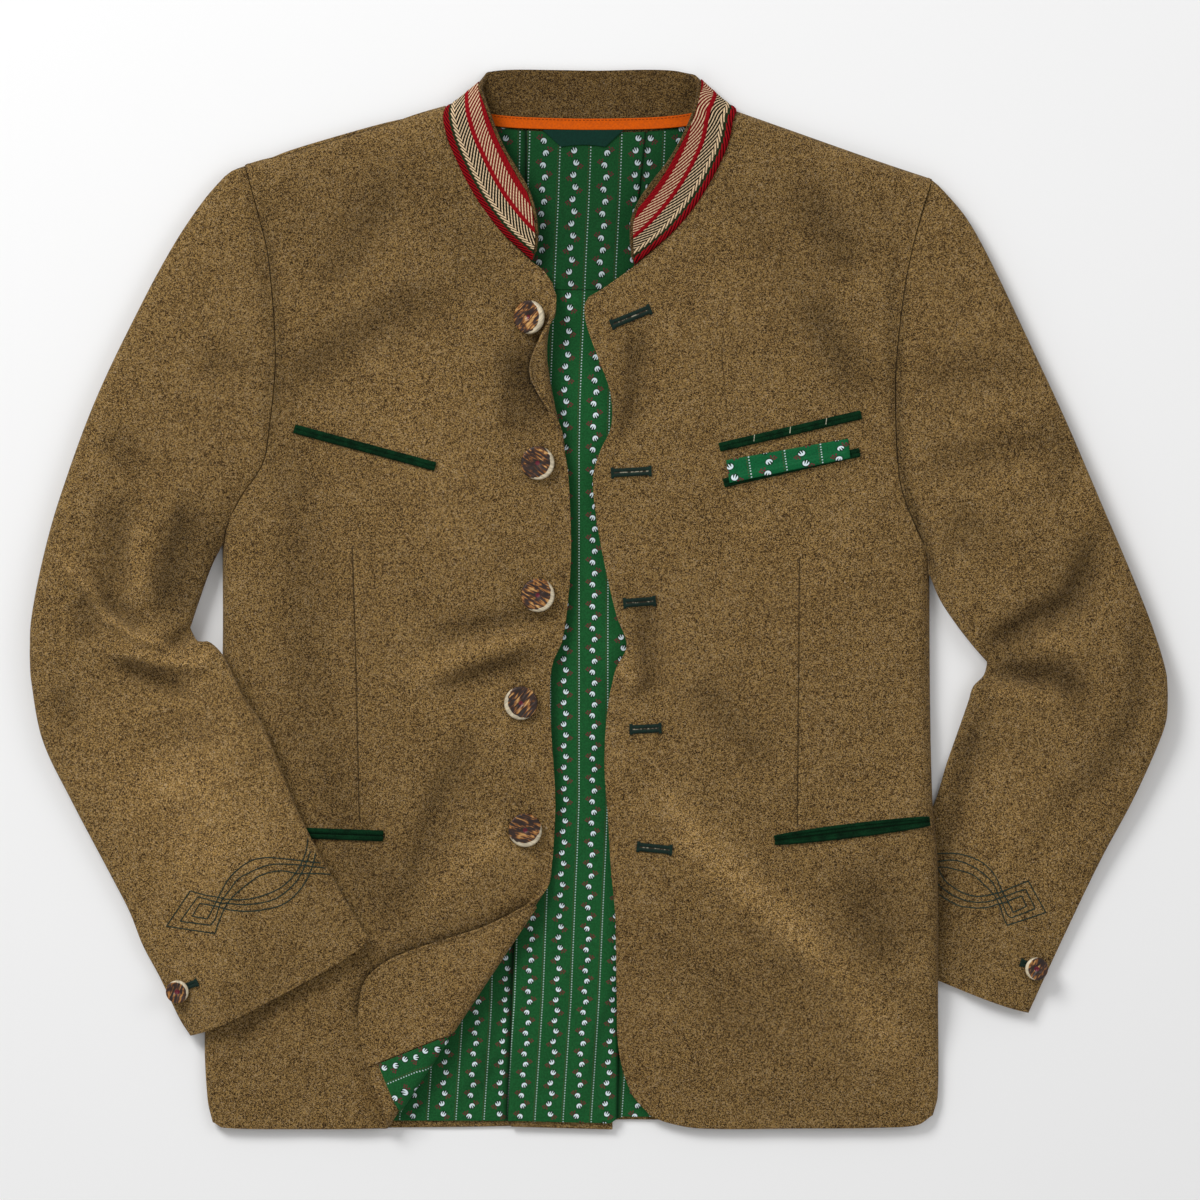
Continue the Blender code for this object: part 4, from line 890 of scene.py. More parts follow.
def makeBackLining():
    rows = spread((0.08, 22), (1.0, 150))
    inset, tuck, over = backLining["inset"], backLining["underPleat"], backLining["pleatOver"]
    v = rows[:, None]
    ends = backPlan(np.array([[inset, 1.0 - inset]]), v)
    drawn = backLining["drawIn"] * smooth((rows - shape["underarm"]) / 0.05)
    start, end = (ends[:, 0, 0] + drawn)[:, None], (ends[:, 1, 0] - drawn)[:, None]
    middle = backPlan(np.array([[0.5]]), v)[:, 0, 1]
    foldLeft, foldRight, stand = (read(backLining["pleat"], middle, k)[:, None] for k in (1, 2, 3))
    side = spread((1.0, 44))
    inner = [0.0, 0.004, 0.012, 0.03, *(spread((1.0, 34))[1:-1] * 0.94 + 0.03), 0.97, 0.988, 0.996, 1.0]
    x = np.concatenate((
        start + (foldLeft - start) * side, foldLeft + tuck,
        foldLeft - over + (foldRight - foldLeft + 2 * over) * np.array(inner), foldRight - tuck,
        foldRight + (end - foldRight) * side), 1)
    region = np.repeat([-1, 0, 1], (len(side) + 1, len(inner), len(side) + 1))[None, :] + x * 0
    outer = backPlan(np.array([[0.0, 1.0]]), v)
    share = (x - outer[:, :1, 0]) / (outer[:, 1:, 0] - outer[:, :1, 0])
    y = backPlan(share, np.broadcast_to(v, share.shape))[..., 1]
    hemLine = backPlan(spread((1.0, 80)), np.zeros(81))
    hemmed = read(backLining["hem"], x) - np.interp(x, hemLine[:, 0], hemLine[:, 1])
    y = y + hemmed * np.maximum(0.0, 1 - v / 0.08)
    neckMiddle, neckHalf, short, less = backLining["atNeck"]
    atNeck = smooth((neckHalf - np.abs(x - neckMiddle)) / 10.0)
    y = y - (short - less * atNeck) * smooth((v - 0.85) / 0.15)
    edge = np.minimum(np.abs(x - foldLeft), np.abs(x - foldRight))
    raised = np.where(region == 0, stand * (1 - 0.3 * np.exp(-edge / 0.8)), 0.0)
    waves = np.maximum(folds(backLining["folds"], x, y) + unevenness(x, y, 0.3, 2.0), backLining["troughs"])
    height = backLining["level"] + raised + backLining["overLift"] * lift(x, y) + waves
    (darkLeft, wideLeft), (darkRight, wideRight) = backLining["foldShades"]
    paintedCreaseShade = np.where(x < foldLeft + 0.4, darkLeft * bell(x - foldLeft, wideLeft), 0.0)
    paintedCreaseShade += np.where(x > foldRight - 0.4, darkRight * bell(x - foldRight, wideRight), 0.0)
    paintedCreaseShade += backLining["creaseTone"] * folds(backLining["creases"], x, y)
    data = gridOf(np.stack((x, y, height), -1), printPlace(x, y, region),
                  {"seamOff": y - backLining["yoke"], "paintedCreaseShade": np.maximum(paintedCreaseShade, 0.0)})
    return addPiece("back_lining_cloth", data, "liningBack", "back_lining",
                    backLining["wall"], 0.0, 0.3)


underlay = {"foot": -369.4, "tall": 115.0, "slope": 1.9, "inset": 2.4, "level": 3.6, "wall": 1.9}


def makeUnderlay():
    u, v = np.meshgrid(spread((1.0, 24)), spread((1.0, 36)))
    y = underlay["foot"] - underlay["slope"] * u + v * underlay["tall"]
    low = read(backLining["pleat"], y, 1) + underlay["inset"]
    high = read(backLining["pleat"], y, 2) - underlay["inset"]
    place = np.stack((low + (high - low) * u, y, underlay["level"] + u * 0), -1)
    data = gridOf(place, place[..., :2] * mm)
    return addPiece("pleat_strip", data, "lodenPlain", "pleat_underlay", underlay["wall"], 0.0, 0.6)


backPanel = makeBack()
liningBack = makeBackLining()
pleatStrip = makeUnderlay()
print("back, lining and pleat made")


# The turned-back corner shows its facing and the front's lining

flap = {
    "seam": -101.5, "top": 0.256, "foot": 0.019, "gap": 0.35, "wall": 1.2, "inset": 1.8, "printFrom": 15.3,
    "seamGap": 0.4, "cells": 44, "touch": 1.2, "clear": 0.15,
}


def flapSeam(v):
    # how far from the hinge the facing meets the lining
    start, width, _ = right.hinge(v)
    foot, end = right.plan(start, v), right.plan(np.ones(len(v)), v)
    return width * (flap["seam"] - foot[:, 0]) / (end[:, 0] - foot[:, 0])


def flapCloth(v, low, high, tree, bend):
    # cloth over the turned-back corner, from low to high off its hinge, kept clear of the front
    offset = shape["cloth"] / 2 + flap["gap"] + flap["wall"] / 2
    reach = low[:, None] + (high - low)[:, None] * spread((1.0, flap["cells"]))[None, :]
    here, flat = right.strip(reach, v)
    along, up = right.strip(reach + 0.4, v)[0] - here, right.strip(reach, v + 0.0015)[0] - here
    normal = np.cross(up, along)
    place = here + normal / np.linalg.norm(normal, axis=-1, keepdims=True) * offset
    around = (-flap["touch"], flap["touch"])
    for spot in np.ndindex(place.shape[:2]):
        if reach[spot] > bend * 0.52:
            x, y, z = place[spot]
            tops = [topOf([tree], x + dx, y + dy) for dx in around for dy in around]
            tops = [top + flap["clear"] + flap["wall"] / 2 for top in tops if top is not None]
            place[spot][2] = max([z] + tops)
    z = place[..., 2]
    for _ in range(2):
        z[1:-1, 1:-1] = (z[:-2, 1:-1] + z[2:, 1:-1] + z[1:-1, :-2] + z[1:-1, 2:] + 2 * z[1:-1, 1:-1]) / 6
    return place, flat


def makeFlap():
    tree = treeOf(frontRight)
    bend = math.pi * shape["turnRadius"] / shape["foldNormal"][0]
    v = spread((1.0, 110)) * flap["top"]
    _, width, _ = right.hinge(v)
    low = np.maximum(bend / 2, flapSeam(v) + flap["seamGap"])
    high = np.maximum(width - flap["inset"], low + 0.6)
    place, flat = flapCloth(v, low, high, tree, bend)
    fromEnd = (high - low)[:, None] * (1 - spread((1.0, flap["cells"])))[None, :]
    # painted shading: a little lighter overall, with painted shade along the facing's free edge
    data = gridOf(place, flat * mm, {"paintedShading": 0.05 - 0.45 * bell(fromEnd, 0.9)})
    facing = addPiece("corner_facing", data, "lodenPlain", "right_front_facing",
                      flap["wall"], 0.0, 0.4)
    probe = np.linspace(0.0, 0.2, 400)
    last = probe[np.argmin(np.abs(flapSeam(probe) - (bend / 2 + 4.0)))]
    v = np.linspace(flap["foot"], last, 60)
    reach = flapSeam(v) - flap["seamGap"]
    place, flat = flapCloth(v, np.minimum(bend / 2, reach - 0.5), reach, tree, bend)
    printAt = np.stack((flap["seam"] - flat[..., 0] - flap["printFrom"], flat[..., 1]), -1)
    data = gridOf(place, printAt * mm)
    lining = addPiece("corner_lining", data, "lining", "right_front_lining", flap["wall"], 0.0, 0.3)
    return facing, lining


cornerFacing, cornerLining = makeFlap()
print("turned-back corner made")


# The sleeves: outer and inner edge, each in two runs that meet at the elbow

rightSleeve = {
    "outerUpper": [(-249, 304.5), (-258, 300.7), (-264.5, 295), (-277.5, 279.7), (-296.5, 251.5),
                   (-319.5, 209.5), (-353, 139.5), (-378.5, 69.5), (-390, 27.5), (-398, -14.5), (-399, -38)],
    "outerLower": [(-399, -38), (-398, -56.5), (-390, -98.5), (-370, -140.5), (-340.5, -196.5), (-329, -219),
                   (-320, -242), (-308, -264.5), (-294, -294), (-286.5, -305.5)],
    "innerUpper": [(-264.5, 39), (-271, 25), (-279.5, 1), (-286.5, -20)],
    "innerLower": [(-286.5, -20), (-281, -29), (-273, -29.5), (-262.5, -40), (-248, -69), (-236, -86),
                   (-209, -152), (-176, -213), (-160.5, -237.5)],
    "heights": [(0.0, 15), (0.1, 18), (0.3, 21), (0.5, 21), (0.62, 18.5), (0.8, 13.5), (1.0, 8.2)],
    "folds": [
        ([(-286.7, 66), (-297, 28), (-304, -14)], 12, -4.4, 0.25),
        ([(-378, 28), (-357, 7), (-343, -14), (-322, -28), (-301, -34)], 5.0, 4.2, 0.3),
        ([(-350, 0), (-318, -22)], 7, -2.8),
        ([(-364, 0), (-353, -28)], 8, -2.6),
        ([(-343, -35), (-308, -44), (-280, -46), (-269, -35)], 5.5, 3.2),
        ([(-336, -46), (-315, -56), (-290, -67)], 7, -3.8, 0.3),
        ([(-341, 70), (-341, -14)], 12, -2.4),
        ([(-322, 56), (-322, -7)], 9, 2.0),
        ([(-345, 115), (-315, 86)], 12, -2.2),
        ([(-280, 161), (-236, 168)], 13, -1.8),
        ([(-378, -63), (-367, -95)], 9, -2.0),
        ([(-285, -22), (-302, -33)], 5, -3.2),
        ([(-330, -110), (-270, -90)], 16, -1.6, 0.2),
        ([(-340, -150), (-250, -125)], 15, 1.3),
    ],
    # strokes of painted light and shade: line, half width, strength
    "paintedShading": [
        ([(-271, 70), (-280, 28), (-294, -22)], 13, -0.15),
        ([(-266, 56), (-275, 18), (-289, -18)], 6, -0.18),
        ([(-330, 84), (-337, 21)], 9, -0.18),
        ([(-374, 24), (-353, -4), (-329, -28), (-283, -37)], 4, 0.2),
        ([(-343, -70), (-280, -140), (-238, -203)], 62, 0.32),
        ([(-300, -150), (-252, -255)], 58, 0.10),
        ([(-270, -192), (-240, -222)], 12, -0.14),
        ([(-245, 280), (-229, 182), (-236, 105)], 5, -0.25),
        ([(-308, -210), (-259, -287)], 30, 0.05),
    ],
    "hemBow": 5.0, "away": -1.0, "flat": (0.31, 0.66), "area": 0.155,
}
leftSleeve = {
    "outerUpper": [(235, 292.3), (242.3, 285), (257.5, 267), (274, 237.5), (300.5, 181.5), (326.5, 125.5),
                   (350.5, 69.5), (368.5, 27.5), (385.5, -14.5), (396.5, -49.5), (398, -66)],
    "outerLower": [(398, -66), (397, -84), (391, -102), (373.5, -140.5), (351, -182.5), (324, -238.5),
                   (300.5, -289.5)],
    "innerUpper": [(231.5, 16), (238.5, -0.5), (249, -16.5), (261, -32), (271.5, -44)],
    "innerLower": [(271.5, -44), (269, -53), (261.5, -61), (258.5, -70.5), (244, -112.5), (231.5, -149),
                   (200, -193), (168.5, -234.5)],
    "heights": [(0.0, 15), (0.1, 18), (0.3, 21), (0.5, 21), (0.62, 18), (0.8, 12), (1.0, 10)],
    "folds": [
        ([(350, 42), (329, 0), (280, -28), (270, -39)], 11, -4.8, 0.2),
        ([(273, -53), (287, -51), (322, -54), (343, -70)], 8, -4.4, 0.2),
        ([(275, -62), (330, -78)], 8, 2.2),
        ([(382, 0), (378, -70), (357, -119), (322, -147)], 11, -2.6),
        ([(231, 91), (322, 112), (329, 70)], 13, -2.6),
        ([(217, 154), (308, 161)], 14, -1.8),
        ([(263, 63), (245, 28)], 12, -1.8),
        ([(300, -20), (345, -40)], 9, 1.8),
        ([(330, -130), (300, -190)], 13, -1.2),
    ],
    # strokes of painted light and shade: line, half width, strength
    "paintedShading": [
        ([(270, -63), (256, -112), (243, -168), (240, -238)], 9, -0.4),
        ([(284, -57), (314, -62), (344, -80)], 12, -0.10),
        ([(280, -81), (333, -88)], 9, 0.14),
        ([(315, -112), (287, -196)], 33, 0.20),
        ([(245, -217), (256, -270)], 15, -0.18),
        ([(214, 252), (208, 153), (210, 97), (224, 48), (232, 24)], 3.4, -0.42),
        ([(252, 126), (322, 84)], 26, 0.08),
        ([(216, 70), (227, 42), (238, 14)], 6, -0.20),
        ([(352, 100), (333, 56)], 13, 0.14),
        ([(266, 60), (282, 28)], 14, -0.14),
        ([(300, 0), (345, 56)], 9, -0.10),
    ],
    "hemBow": 3.5, "away": 1.0, "flat": (0.31, 0.63), "area": 0.142,
}
sleeveHead = {
    # rows that run in under the armhole: how far in, how far down
    "tuck": [(5.0, 5.6), (3.0, 5.4), (1.7, 4.6), (0.9, 2.6), (0.55, 1.1), (0.5, 0.4)],
    "gap": 1.15, "underCap": 5.6, "free": 60.0, "overBody": 1.5,
    # shares of the length: to where the head is drawn to its seam, where folds set in, where the hem bows
    "easeTo": 0.3, "foldsFrom": 0.08, "bowFrom": 0.75,
    # how full the tube is across, as strength and power, and how far its underside is tucked in
    "fullness": (1.12, 0.55), "underTuck": 1.1, "wall": 2.0, "edge": 0.7,
    # metres of flat cloth half round and down
    "cloth": (0.15, 0.62),
    # the left cap rises past x by a slope, and above y by a slope, and is free above the last y
    "leftCap": (247.0, 0.3, -110, 0.4, -40), "rightFrom": -25, "field": ((-330, -330), (-140, -20), 2.0),
}


cover = {"slope": 0.4, "reach": 32, "empty": -40.0}


def heightField(piece, low, high, step):
    # the piece's top over a rectangle, spread out as a cone so that cloth passes over it in one sweep
    tree = treeOf(piece)
    xs, ys = np.arange(low[0], high[0], step), np.arange(low[1], high[1], step)
    field = np.array([[topOf([tree], x, y) or cover["empty"] for x in xs] for y in ys])
    cells = int(cover["reach"] / step)
    padded = np.pad(field, cells, constant_values=cover["empty"])
    for i, j in np.ndindex(2 * cells + 1, 2 * cells + 1):
        far = math.hypot(i - cells, j - cells) * step
        if far <= cover["reach"]:
            field = np.maximum(field, padded[i:i + len(ys), j:j + len(xs)] - cover["slope"] * far)
    for _ in range(3):
        soft = np.pad(field, 1, mode="edge")
        field = np.maximum(field, (soft[:-2, 1:-1] + soft[2:, 1:-1] + soft[1:-1, :-2] + soft[1:-1, 2:]) / 4)

    def at(x, y):
        i = np.clip((x - xs[0]) / step, 0, len(xs) - 1.001)
        j = np.clip((y - ys[0]) / step, 0, len(ys) - 1.001)
        a, b = i.astype(int), j.astype(int)
        s, t = i - a, j - b
        low = field[b, a] * (1 - s) + field[b, a + 1] * s
        high = field[b + 1, a] * (1 - s) + field[b + 1, a + 1] * s
        return low * (1 - t) + high * t

    return at


def makeSleeve(name, cut, armhole, node, under, cap):
    # under gives what the sleeve lies on, and cap the height that it may not pass
    outer, inner = (Chain((Line(cut[edge + "Upper"]), 0.5), (Line(cut[edge + "Lower"]), 1.0))
                    for edge in ("outer", "inner"))
    down = outer.at(1.0) - outer.at(0.9)
    down = down / np.linalg.norm(down)
    # rows run down the sleeve after those that are tucked in, and columns go round from its outer edge
    tuck = np.array(sleeveHead["tuck"])
    run = np.concatenate((np.zeros(len(tuck)), [0.006, 0.012, 0.02, 0.03],
                          spread((1.0, 158))[1:] * 0.962 + 0.034, [1.0]))
    shift, drop = (np.concatenate((tuck[:, k], np.zeros(len(run) - len(tuck))))[:, None] for k in (0, 1))
    half = 0.5 - 0.5 * np.cos(np.pi * spread((1.0, 54)))
    share = np.concatenate((half, half[-2::-1]))
    isTop = np.arange(len(share))[None, :] < len(half)
    across, v = np.meshgrid(share, run)
    a = across[..., None]
    seam = armhole.at(1 - across) + np.array((cut["away"] * sleeveHead["gap"], 0.0))
    startLine = outer.at(0.0) * (1 - a) + inner.at(0.0) * a
    place = outer.at(v) * (1 - a) + inner.at(v) * a
    place = place + (seam - startLine) * (np.maximum(0.0, 1 - v / sleeveHead["easeTo"]) ** 2)[..., None]
    bowed = smooth((v - sleeveHead["bowFrom"]) / 0.25)
    bow = cut["hemBow"] * (1 - (2 * across - 1) ** 4) * bowed
    place = place + down * bow[..., None]
    x, y = place[..., 0], place[..., 1]
    rounded = 2 * np.sqrt(np.maximum(across * (1 - across), 0.0))
    strength, power = sleeveHead["fullness"]
    full = np.minimum(1.0, strength * rounded**power)
    rest, height = under(x, y), read(cut["heights"], v)
    room = np.minimum(height, cap(x, y) - rest)
    waves = shape["foldDepth"] * folds(cut["folds"], x, y) + unevenness(x, y, 1.2, 4.0)
    waves = waves * smooth(full) * smooth(v / sleeveHead["foldsFrom"])
    upper = rest + room / 2 * (1 + full) + waves * room / height - drop * full**0.5
    lower = rest + room / 2 * (1 - full)
    x = x - cut["away"] * np.where(isTop, shift, np.minimum(shift, sleeveHead["underTuck"]))
    places = np.stack((x, y, np.where(isTop, upper, lower)), -1)
    halfRound, length = sleeveHead["cloth"]
    around = np.concatenate(([0.0], np.cumsum(np.abs(np.diff(share))))) * halfRound
    cloth = np.stack(np.meshgrid(around, run * length), -1)
    data = gridOf(places, cloth, {"paintedShading": paintedShadingOf(cut, places)}, closed=True)
    centres = {face: face.calc_center_median() for face in data.faces}
    middle = sum(centres.values(), Vector()) / len(centres)
    if sum(face.normal.dot(centre - middle) * face.calc_area() for face, centre in centres.items()) < 0:
        bmesh.ops.reverse_faces(data, faces=data.faces)
    return addPiece(name, data, "lodenPlain", node, sleeveHead["wall"], -1.0, sleeveHead["edge"])


def leftCap(x, y):
    # flat where the body lies on it, rising clear of the body's edge
    fromX, slopeX, fromY, slopeY, freeAbove = sleeveHead["leftCap"]
    limit = sleeveHead["underCap"] + np.maximum(0.0, x - fromX) * slopeX + np.maximum(0.0, y - fromY) * slopeY
    return np.where(y > freeAbove, sleeveHead["free"], np.minimum(limit, sleeveHead["free"]))


def rightRest(x, y):
    over = np.maximum(0.0, bodyUnder(x, y) + sleeveHead["overBody"])
    return np.where(y > sleeveHead["rightFrom"], 0.0, over)


bodyUnder = heightField(frontRight, *sleeveHead["field"])
sleeveLeft = makeSleeve("sleeve_left", leftSleeve, left.lines["armhole"], "left_sleeve",
                        lambda x, y: x * 0, leftCap)
sleeveRight = makeSleeve("sleeve_right", rightSleeve, right.lines["armhole"], "right_sleeve", rightRest,
                         lambda x, y: x * 0 + sleeveHead["free"])
print("sleeves made")


# The stand collar with its woven braid, the neck tape and the label

collar = {
    "stand": 19.5, "wall": 2.6, "seamIn": 2.4, "seamHeight": 13.3, "endDrop": 4.0,
    # share down the neck line, upper edge x, y
    "rightEdge": [(1.0, -44.5, 244), (0.9, -43, 253), (0.78, -44, 268), (0.62, -48.5, 285),
                  (0.48, -57, 300.5), (0.34, -66, 315.5), (0.2, -73, 331), (0.08, -78.5, 346.5)],
    "leftEdge": [(1.0, 22.5, 240.5), (0.88, 21.5, 251.5), (0.75, 22, 265.5), (0.6, 28.5, 281),
                 (0.46, 37.5, 293.5), (0.32, 48, 307), (0.18, 57, 322.5), (0.06, 65, 341)],
    # seam x, y, z, upper edge x, y, z
    "back": [(-105.6, 342.5, 8.0, -82.5, 358.5, 13.0), (-101.5, 344.0, 3.6, -80.5, 364.0, 6.0),
             (-96.5, 341.5, 1.9, -77.5, 369.0, 2.3), (-89.0, 338.0, 1.6, -72.0, 370.5, 1.7),
             (-69.5, 333.2, 1.6, -57.0, 371.3, 1.6), (-34.5, 330.8, 1.6, -31.0, 371.0, 1.6),
             (0.5, 330.6, 1.6, 0.5, 370.6, 1.6), (35.5, 331.0, 1.6, 31.0, 371.2, 1.6),
             (63.5, 334.6, 1.6, 50.0, 370.7, 1.6), (79.5, 338.8, 1.8, 60.5, 368.8, 2.0),
             (87.5, 343.2, 3.4, 67.0, 365.8, 5.5), (93.0, 342.0, 8.0, 69.0, 359.5, 13.0)],
    "flat": (0.44, 0.045), "area": 0.0167,
}


def collarStations():
    # from the right end round the back to the left end: seam and upper edge at each place
    halves = []
    for edge, neck, sign in (("rightEdge", right.lines["neck"], 1), ("leftEdge", left.lines["neck"], -1)):
        half = []
        for share, x, y in collar[edge]:
            ahead = neck.at(min(share + 0.02, 1.0)) - neck.at(share - 0.02)
            inward = np.array((-ahead[1], ahead[0])) / np.linalg.norm(ahead) * sign
            foot = neck.at(share) + inward * collar["seamIn"]
            top = collar["stand"] - collar["endDrop"] * float(smooth((share - 0.8) / 0.2))
            half.append((*foot, collar["seamHeight"], x, y, top))
        halves.append(half)
    return np.array(halves[0] + collar["back"] + halves[1][::-1])


stations = collarStations()
collarSeam, collarTop = Line(stations[:, :3], byLength=False), Line(stations[:, 3:], byLength=False)


def collarAt(s, t):
    return collarSeam.at(s) * (1 - t[..., None]) + collarTop.at(s) * t[..., None]


def collarNormal(s, t):
    low, high = np.maximum(s - 0.002, 0.0), np.minimum(s + 0.002, 1.0)
    normal = np.cross(collarTop.at(s) - collarSeam.at(s), collarAt(high, t) - collarAt(low, t))
    return normal / np.linalg.norm(normal, axis=-1, keepdims=True)


def makeCollar():
    t, s = np.meshgrid([-0.16, -0.08, -0.03, *spread((0.9, 16), (1.0, 5))], spread((1.0, 220)))
    place = collarAt(s, t)
    place[..., 2] += np.minimum(0.0, t + 0.02) * 24.0 * smooth((place[..., 2] - 6.0) / 5.0)
    data = gridOf(place, place[..., :2] * mm)
    # its loden is darkened throughout as painted shade
    return addPiece("stand_collar", data, "lodenPaintedShade", "collar", collar["wall"], 0.0, 1.0)


# The braid: a red cord, a dark green line, a cream chevron, and twill stripes of black, cream and red

braid = {
    "offset": 1.95, "wall": 0.9, "foot": -0.055, "width": 31.0, "inset": 1.9, "steps": 8.6,
    # ends of the red cord, green line, cream chevron, dark twill, red line and red twill, from the seam up
    "zones": (3.9, 6.0, 8.7, 17.1, 20.0, 28.8),
    # name: slant, and share of the period on each side of its middle
    "twill": (-1.48, 0.205), "cord": (2.3, 0.32), "chevron": (2.4, 0.30), "period": 3.8, "thread": 1.35,
    "red": (0.29, 0.005, 0.009), "darkRed": (0.17, 0.004, 0.006), "cream": (0.84, 0.62, 0.38),
    "green": (0.018, 0.032, 0.012), "black": (0.004, 0.005, 0.003), "cordGap": (0.020, 0.001, 0.001),
    "chevronGap": (0.030, 0.018, 0.010),
}


def makeBraidCloth():
    w = Finish("braid", Roughness=0.75, Sheen_Weight=0.0, Specular_IOR_Level=0.03)
    along, up = (part * 1000.0 for part in w.flat())
    zones = braid["zones"]
    red, darkRed, cream, green, black, cordGap, chevronGap = (opaque(braid[name]) for name in (
        "red", "darkRed", "cream", "green", "black", "cordGap", "chevronGap"))

    def stripes(slant, duty):
        off = abs(((along + up * slant) / braid["period"]).fraction() - 0.5)
        return off.within(duty - 0.07, duty + 0.07), off

    twill, twillOff = stripes(*braid["twill"])
    cord, cordOff = stripes(*braid["cord"])
    chevron, _ = stripes(*braid["chevron"])
    gaps = abs((up / braid["thread"]).fraction() - 0.5).ramped(0.33, 0.45)
    twill = twill * (1.0 - gaps * 0.55)
    jagged = up + (cordOff - 0.25) * 2.2
    colour = w.mix(cord, cordGap, red)
    colour = w.mix(jagged > zones[0], colour, green)
    colour = w.mix(jagged > zones[1], colour, w.mix(chevron, chevronGap, cream))
    colour = w.mix(up > zones[2], colour, w.mix(twill, black, cream))
    colour = w.mix(up > zones[3], colour, red)
    colour = w.mix(up > zones[4], colour, w.mix(twill, darkRed, cream))
    colour = w.mix(up > zones[5], colour, w.mix(twill * 0.6, red, darkRed))
    fuzz = w.noise(1400.0)
    colour = w.mix(fuzz.ramped(0.35, 0.7, 0.0, 0.35), colour, (0.0, 0.0, 0.0, 1.0))
    height = 0.5 - w.mix(up < zones[0], twillOff, cordOff)
    return w.show(Base_Color=colour, Roughness=fuzz.ramped(0.3, 0.7, 0.55, 0.75),
                  Normal=w.bump(height, 0.8, 0.0005))


def makeRibbon(name, colour, stitchAt=None):
    # ribbed ribbon, with a run of stitches along it where stitchAt gives its place across
    w = Finish(name, Roughness=0.7, Sheen_Weight=0.0, Specular_IOR_Level=0.08)
    along, up = (part * 1000.0 for part in w.flat())
    fuzz = w.noise(700.0, 3.0)
    tone = w.toned(fuzz.ramped(0.3, 0.7), colour, 0.86, 1.1)
    height = (along * 7.5).sine() * 0.5 + fuzz
    if stitchAt:
        stitch = (abs(up - stitchAt) < 0.35) * ((along / 2.6).fraction() < 0.62)
        tone = w.mix(stitch * 0.85, tone, opaque(colour, 0.30))
        height = height - stitch * 2.0
    return w.show(Base_Color=tone, Roughness=fuzz.ramped(0.3, 0.7, 0.52, 0.68),
                  Normal=w.bump(height, 0.3, 0.0002))


finishes["braid"] = makeBraidCloth()
finishes["tape"] = makeRibbon("tape", (0.57, 0.086, 0.0), 6.9)
finishes["label"] = makeRibbon("label", (0.004, 0.030, 0.020))


def makeBraid(name, node, first, last, drawn, lean):
    # drawn and lean: how the weave is stretched along and pulled askew where it goes round the neck
    t, s = np.meshgrid(spread((1.0, 60)), np.linspace(first, last, 260))
    seam, top = collarSeam.at(s), collarTop.at(s)
    tall = np.linalg.norm(top - seam, axis=-1)
    edge = np.minimum(braid["width"] / tall, 1 - braid["inset"] / tall)
    t = braid["foot"] + (edge - braid["foot"]) * t
    along = walked(seam[:, 0])[:, None]
    up = (t - braid["foot"]) * tall
    zones = braid["zones"]
    twist = 1 + 0.16 * np.sin((along + 2.6 * up) * math.tau / braid["period"])
    raised = 0.75 * twist * dome((up - zones[0] / 2) / (zones[0] / 2))
    raised += (0.30 * bell(up - (zones[1] + zones[2]) / 2, 1.1)
               + 0.22 * bell(up - (zones[3] + zones[4]) / 2, 0.8))
    place = collarAt(s, t) + collarNormal(s, t) * (braid["offset"] + raised)[..., None]
    ahead = np.gradient(seam[:, 0], axis=0)
    ahead /= np.linalg.norm(ahead, axis=1)[:, None]
    askew = ((top - seam) / tall[..., None] * ahead[:, None, :]).sum(-1)
    flat = np.stack(((along + up * askew) * drawn + up * lean, up), -1) * mm
    return addPiece(name, gridOf(place, flat), "braid", node, braid["wall"], 0.0, 0.25)


tape = {
    "low": [(-92, 334.6), (-78, 332.2), (-60, 330.4), (-30, 329.3), (0, 329.0), (35, 329.6), (55, 330.9),
            (66, 332.6), (77, 335.4)],
    "high": [(-92, 343.2), (-78, 340.4), (-60, 338.4), (-30, 337.2), (0, 336.9), (35, 337.7), (55, 339.3),
             (66, 341.2), (77, 344.2)],
    "width": 8.2, "level": 5.4, "slope": 1.6, "wall": 0.8,
}
label = {
    "middle": -11.5, "foot": 318.5, "tall": 10.5, "lowHalf": 15.5, "widening": 13.0, "sag": 1.5, "level": 5.2,
    "wall": 0.5,
}


def makeTape():
    t, s = np.meshgrid(spread((1.0, 10)), spread((1.0, 120)))
    low, high = Line(tape["low"]).at(s), Line(tape["high"]).at(s)
    height = tape["level"] - tape["slope"] * t + 0.12 * np.cos(t * math.pi * 2)
    place = np.dstack((low + (high - low) * t[..., None], height))
    along = walked(place[:, 0])[:, None]
    data = gridOf(place, np.stack((along + t * 0, t * tape["width"]), -1) * mm)
    return addPiece("collar_tape", data, "tape", "neck_tape", tape["wall"], 0.0, 0.25)


def makeLabel():
    u, v = np.meshgrid(spread((1.0, 30)), spread((1.0, 14)))
    across, half = 2 * u - 1, label["lowHalf"] + label["widening"] * v
    y = label["foot"] + label["tall"] * v - label["sag"] * across**2 * (1 - v)
    place = np.stack((label["middle"] + half * across, y, label["level"] + u * 0), -1)
    data = gridOf(place, place[..., :2] * mm)
    return addPiece("label_blank", data, "label", "neck_label", label["wall"], 0.0, 0.15)


standCollar = makeCollar()
braidEnd = braid["steps"] / (len(stations) - 1)
braidRight = makeBraid("braid_right", "right_collar_braid", 0.0, braidEnd, 1.0, 0.0)
braidLeft = makeBraid("braid_left", "left_collar_braid", 1 - braidEnd, 1.0, 0.77, -0.33)
collarTape = makeTape()
labelBlank = makeLabel()
print("collar made")


# Trims on the panels: welts, buttonholes, the pocket square, buttons and the cuffs' embroidery

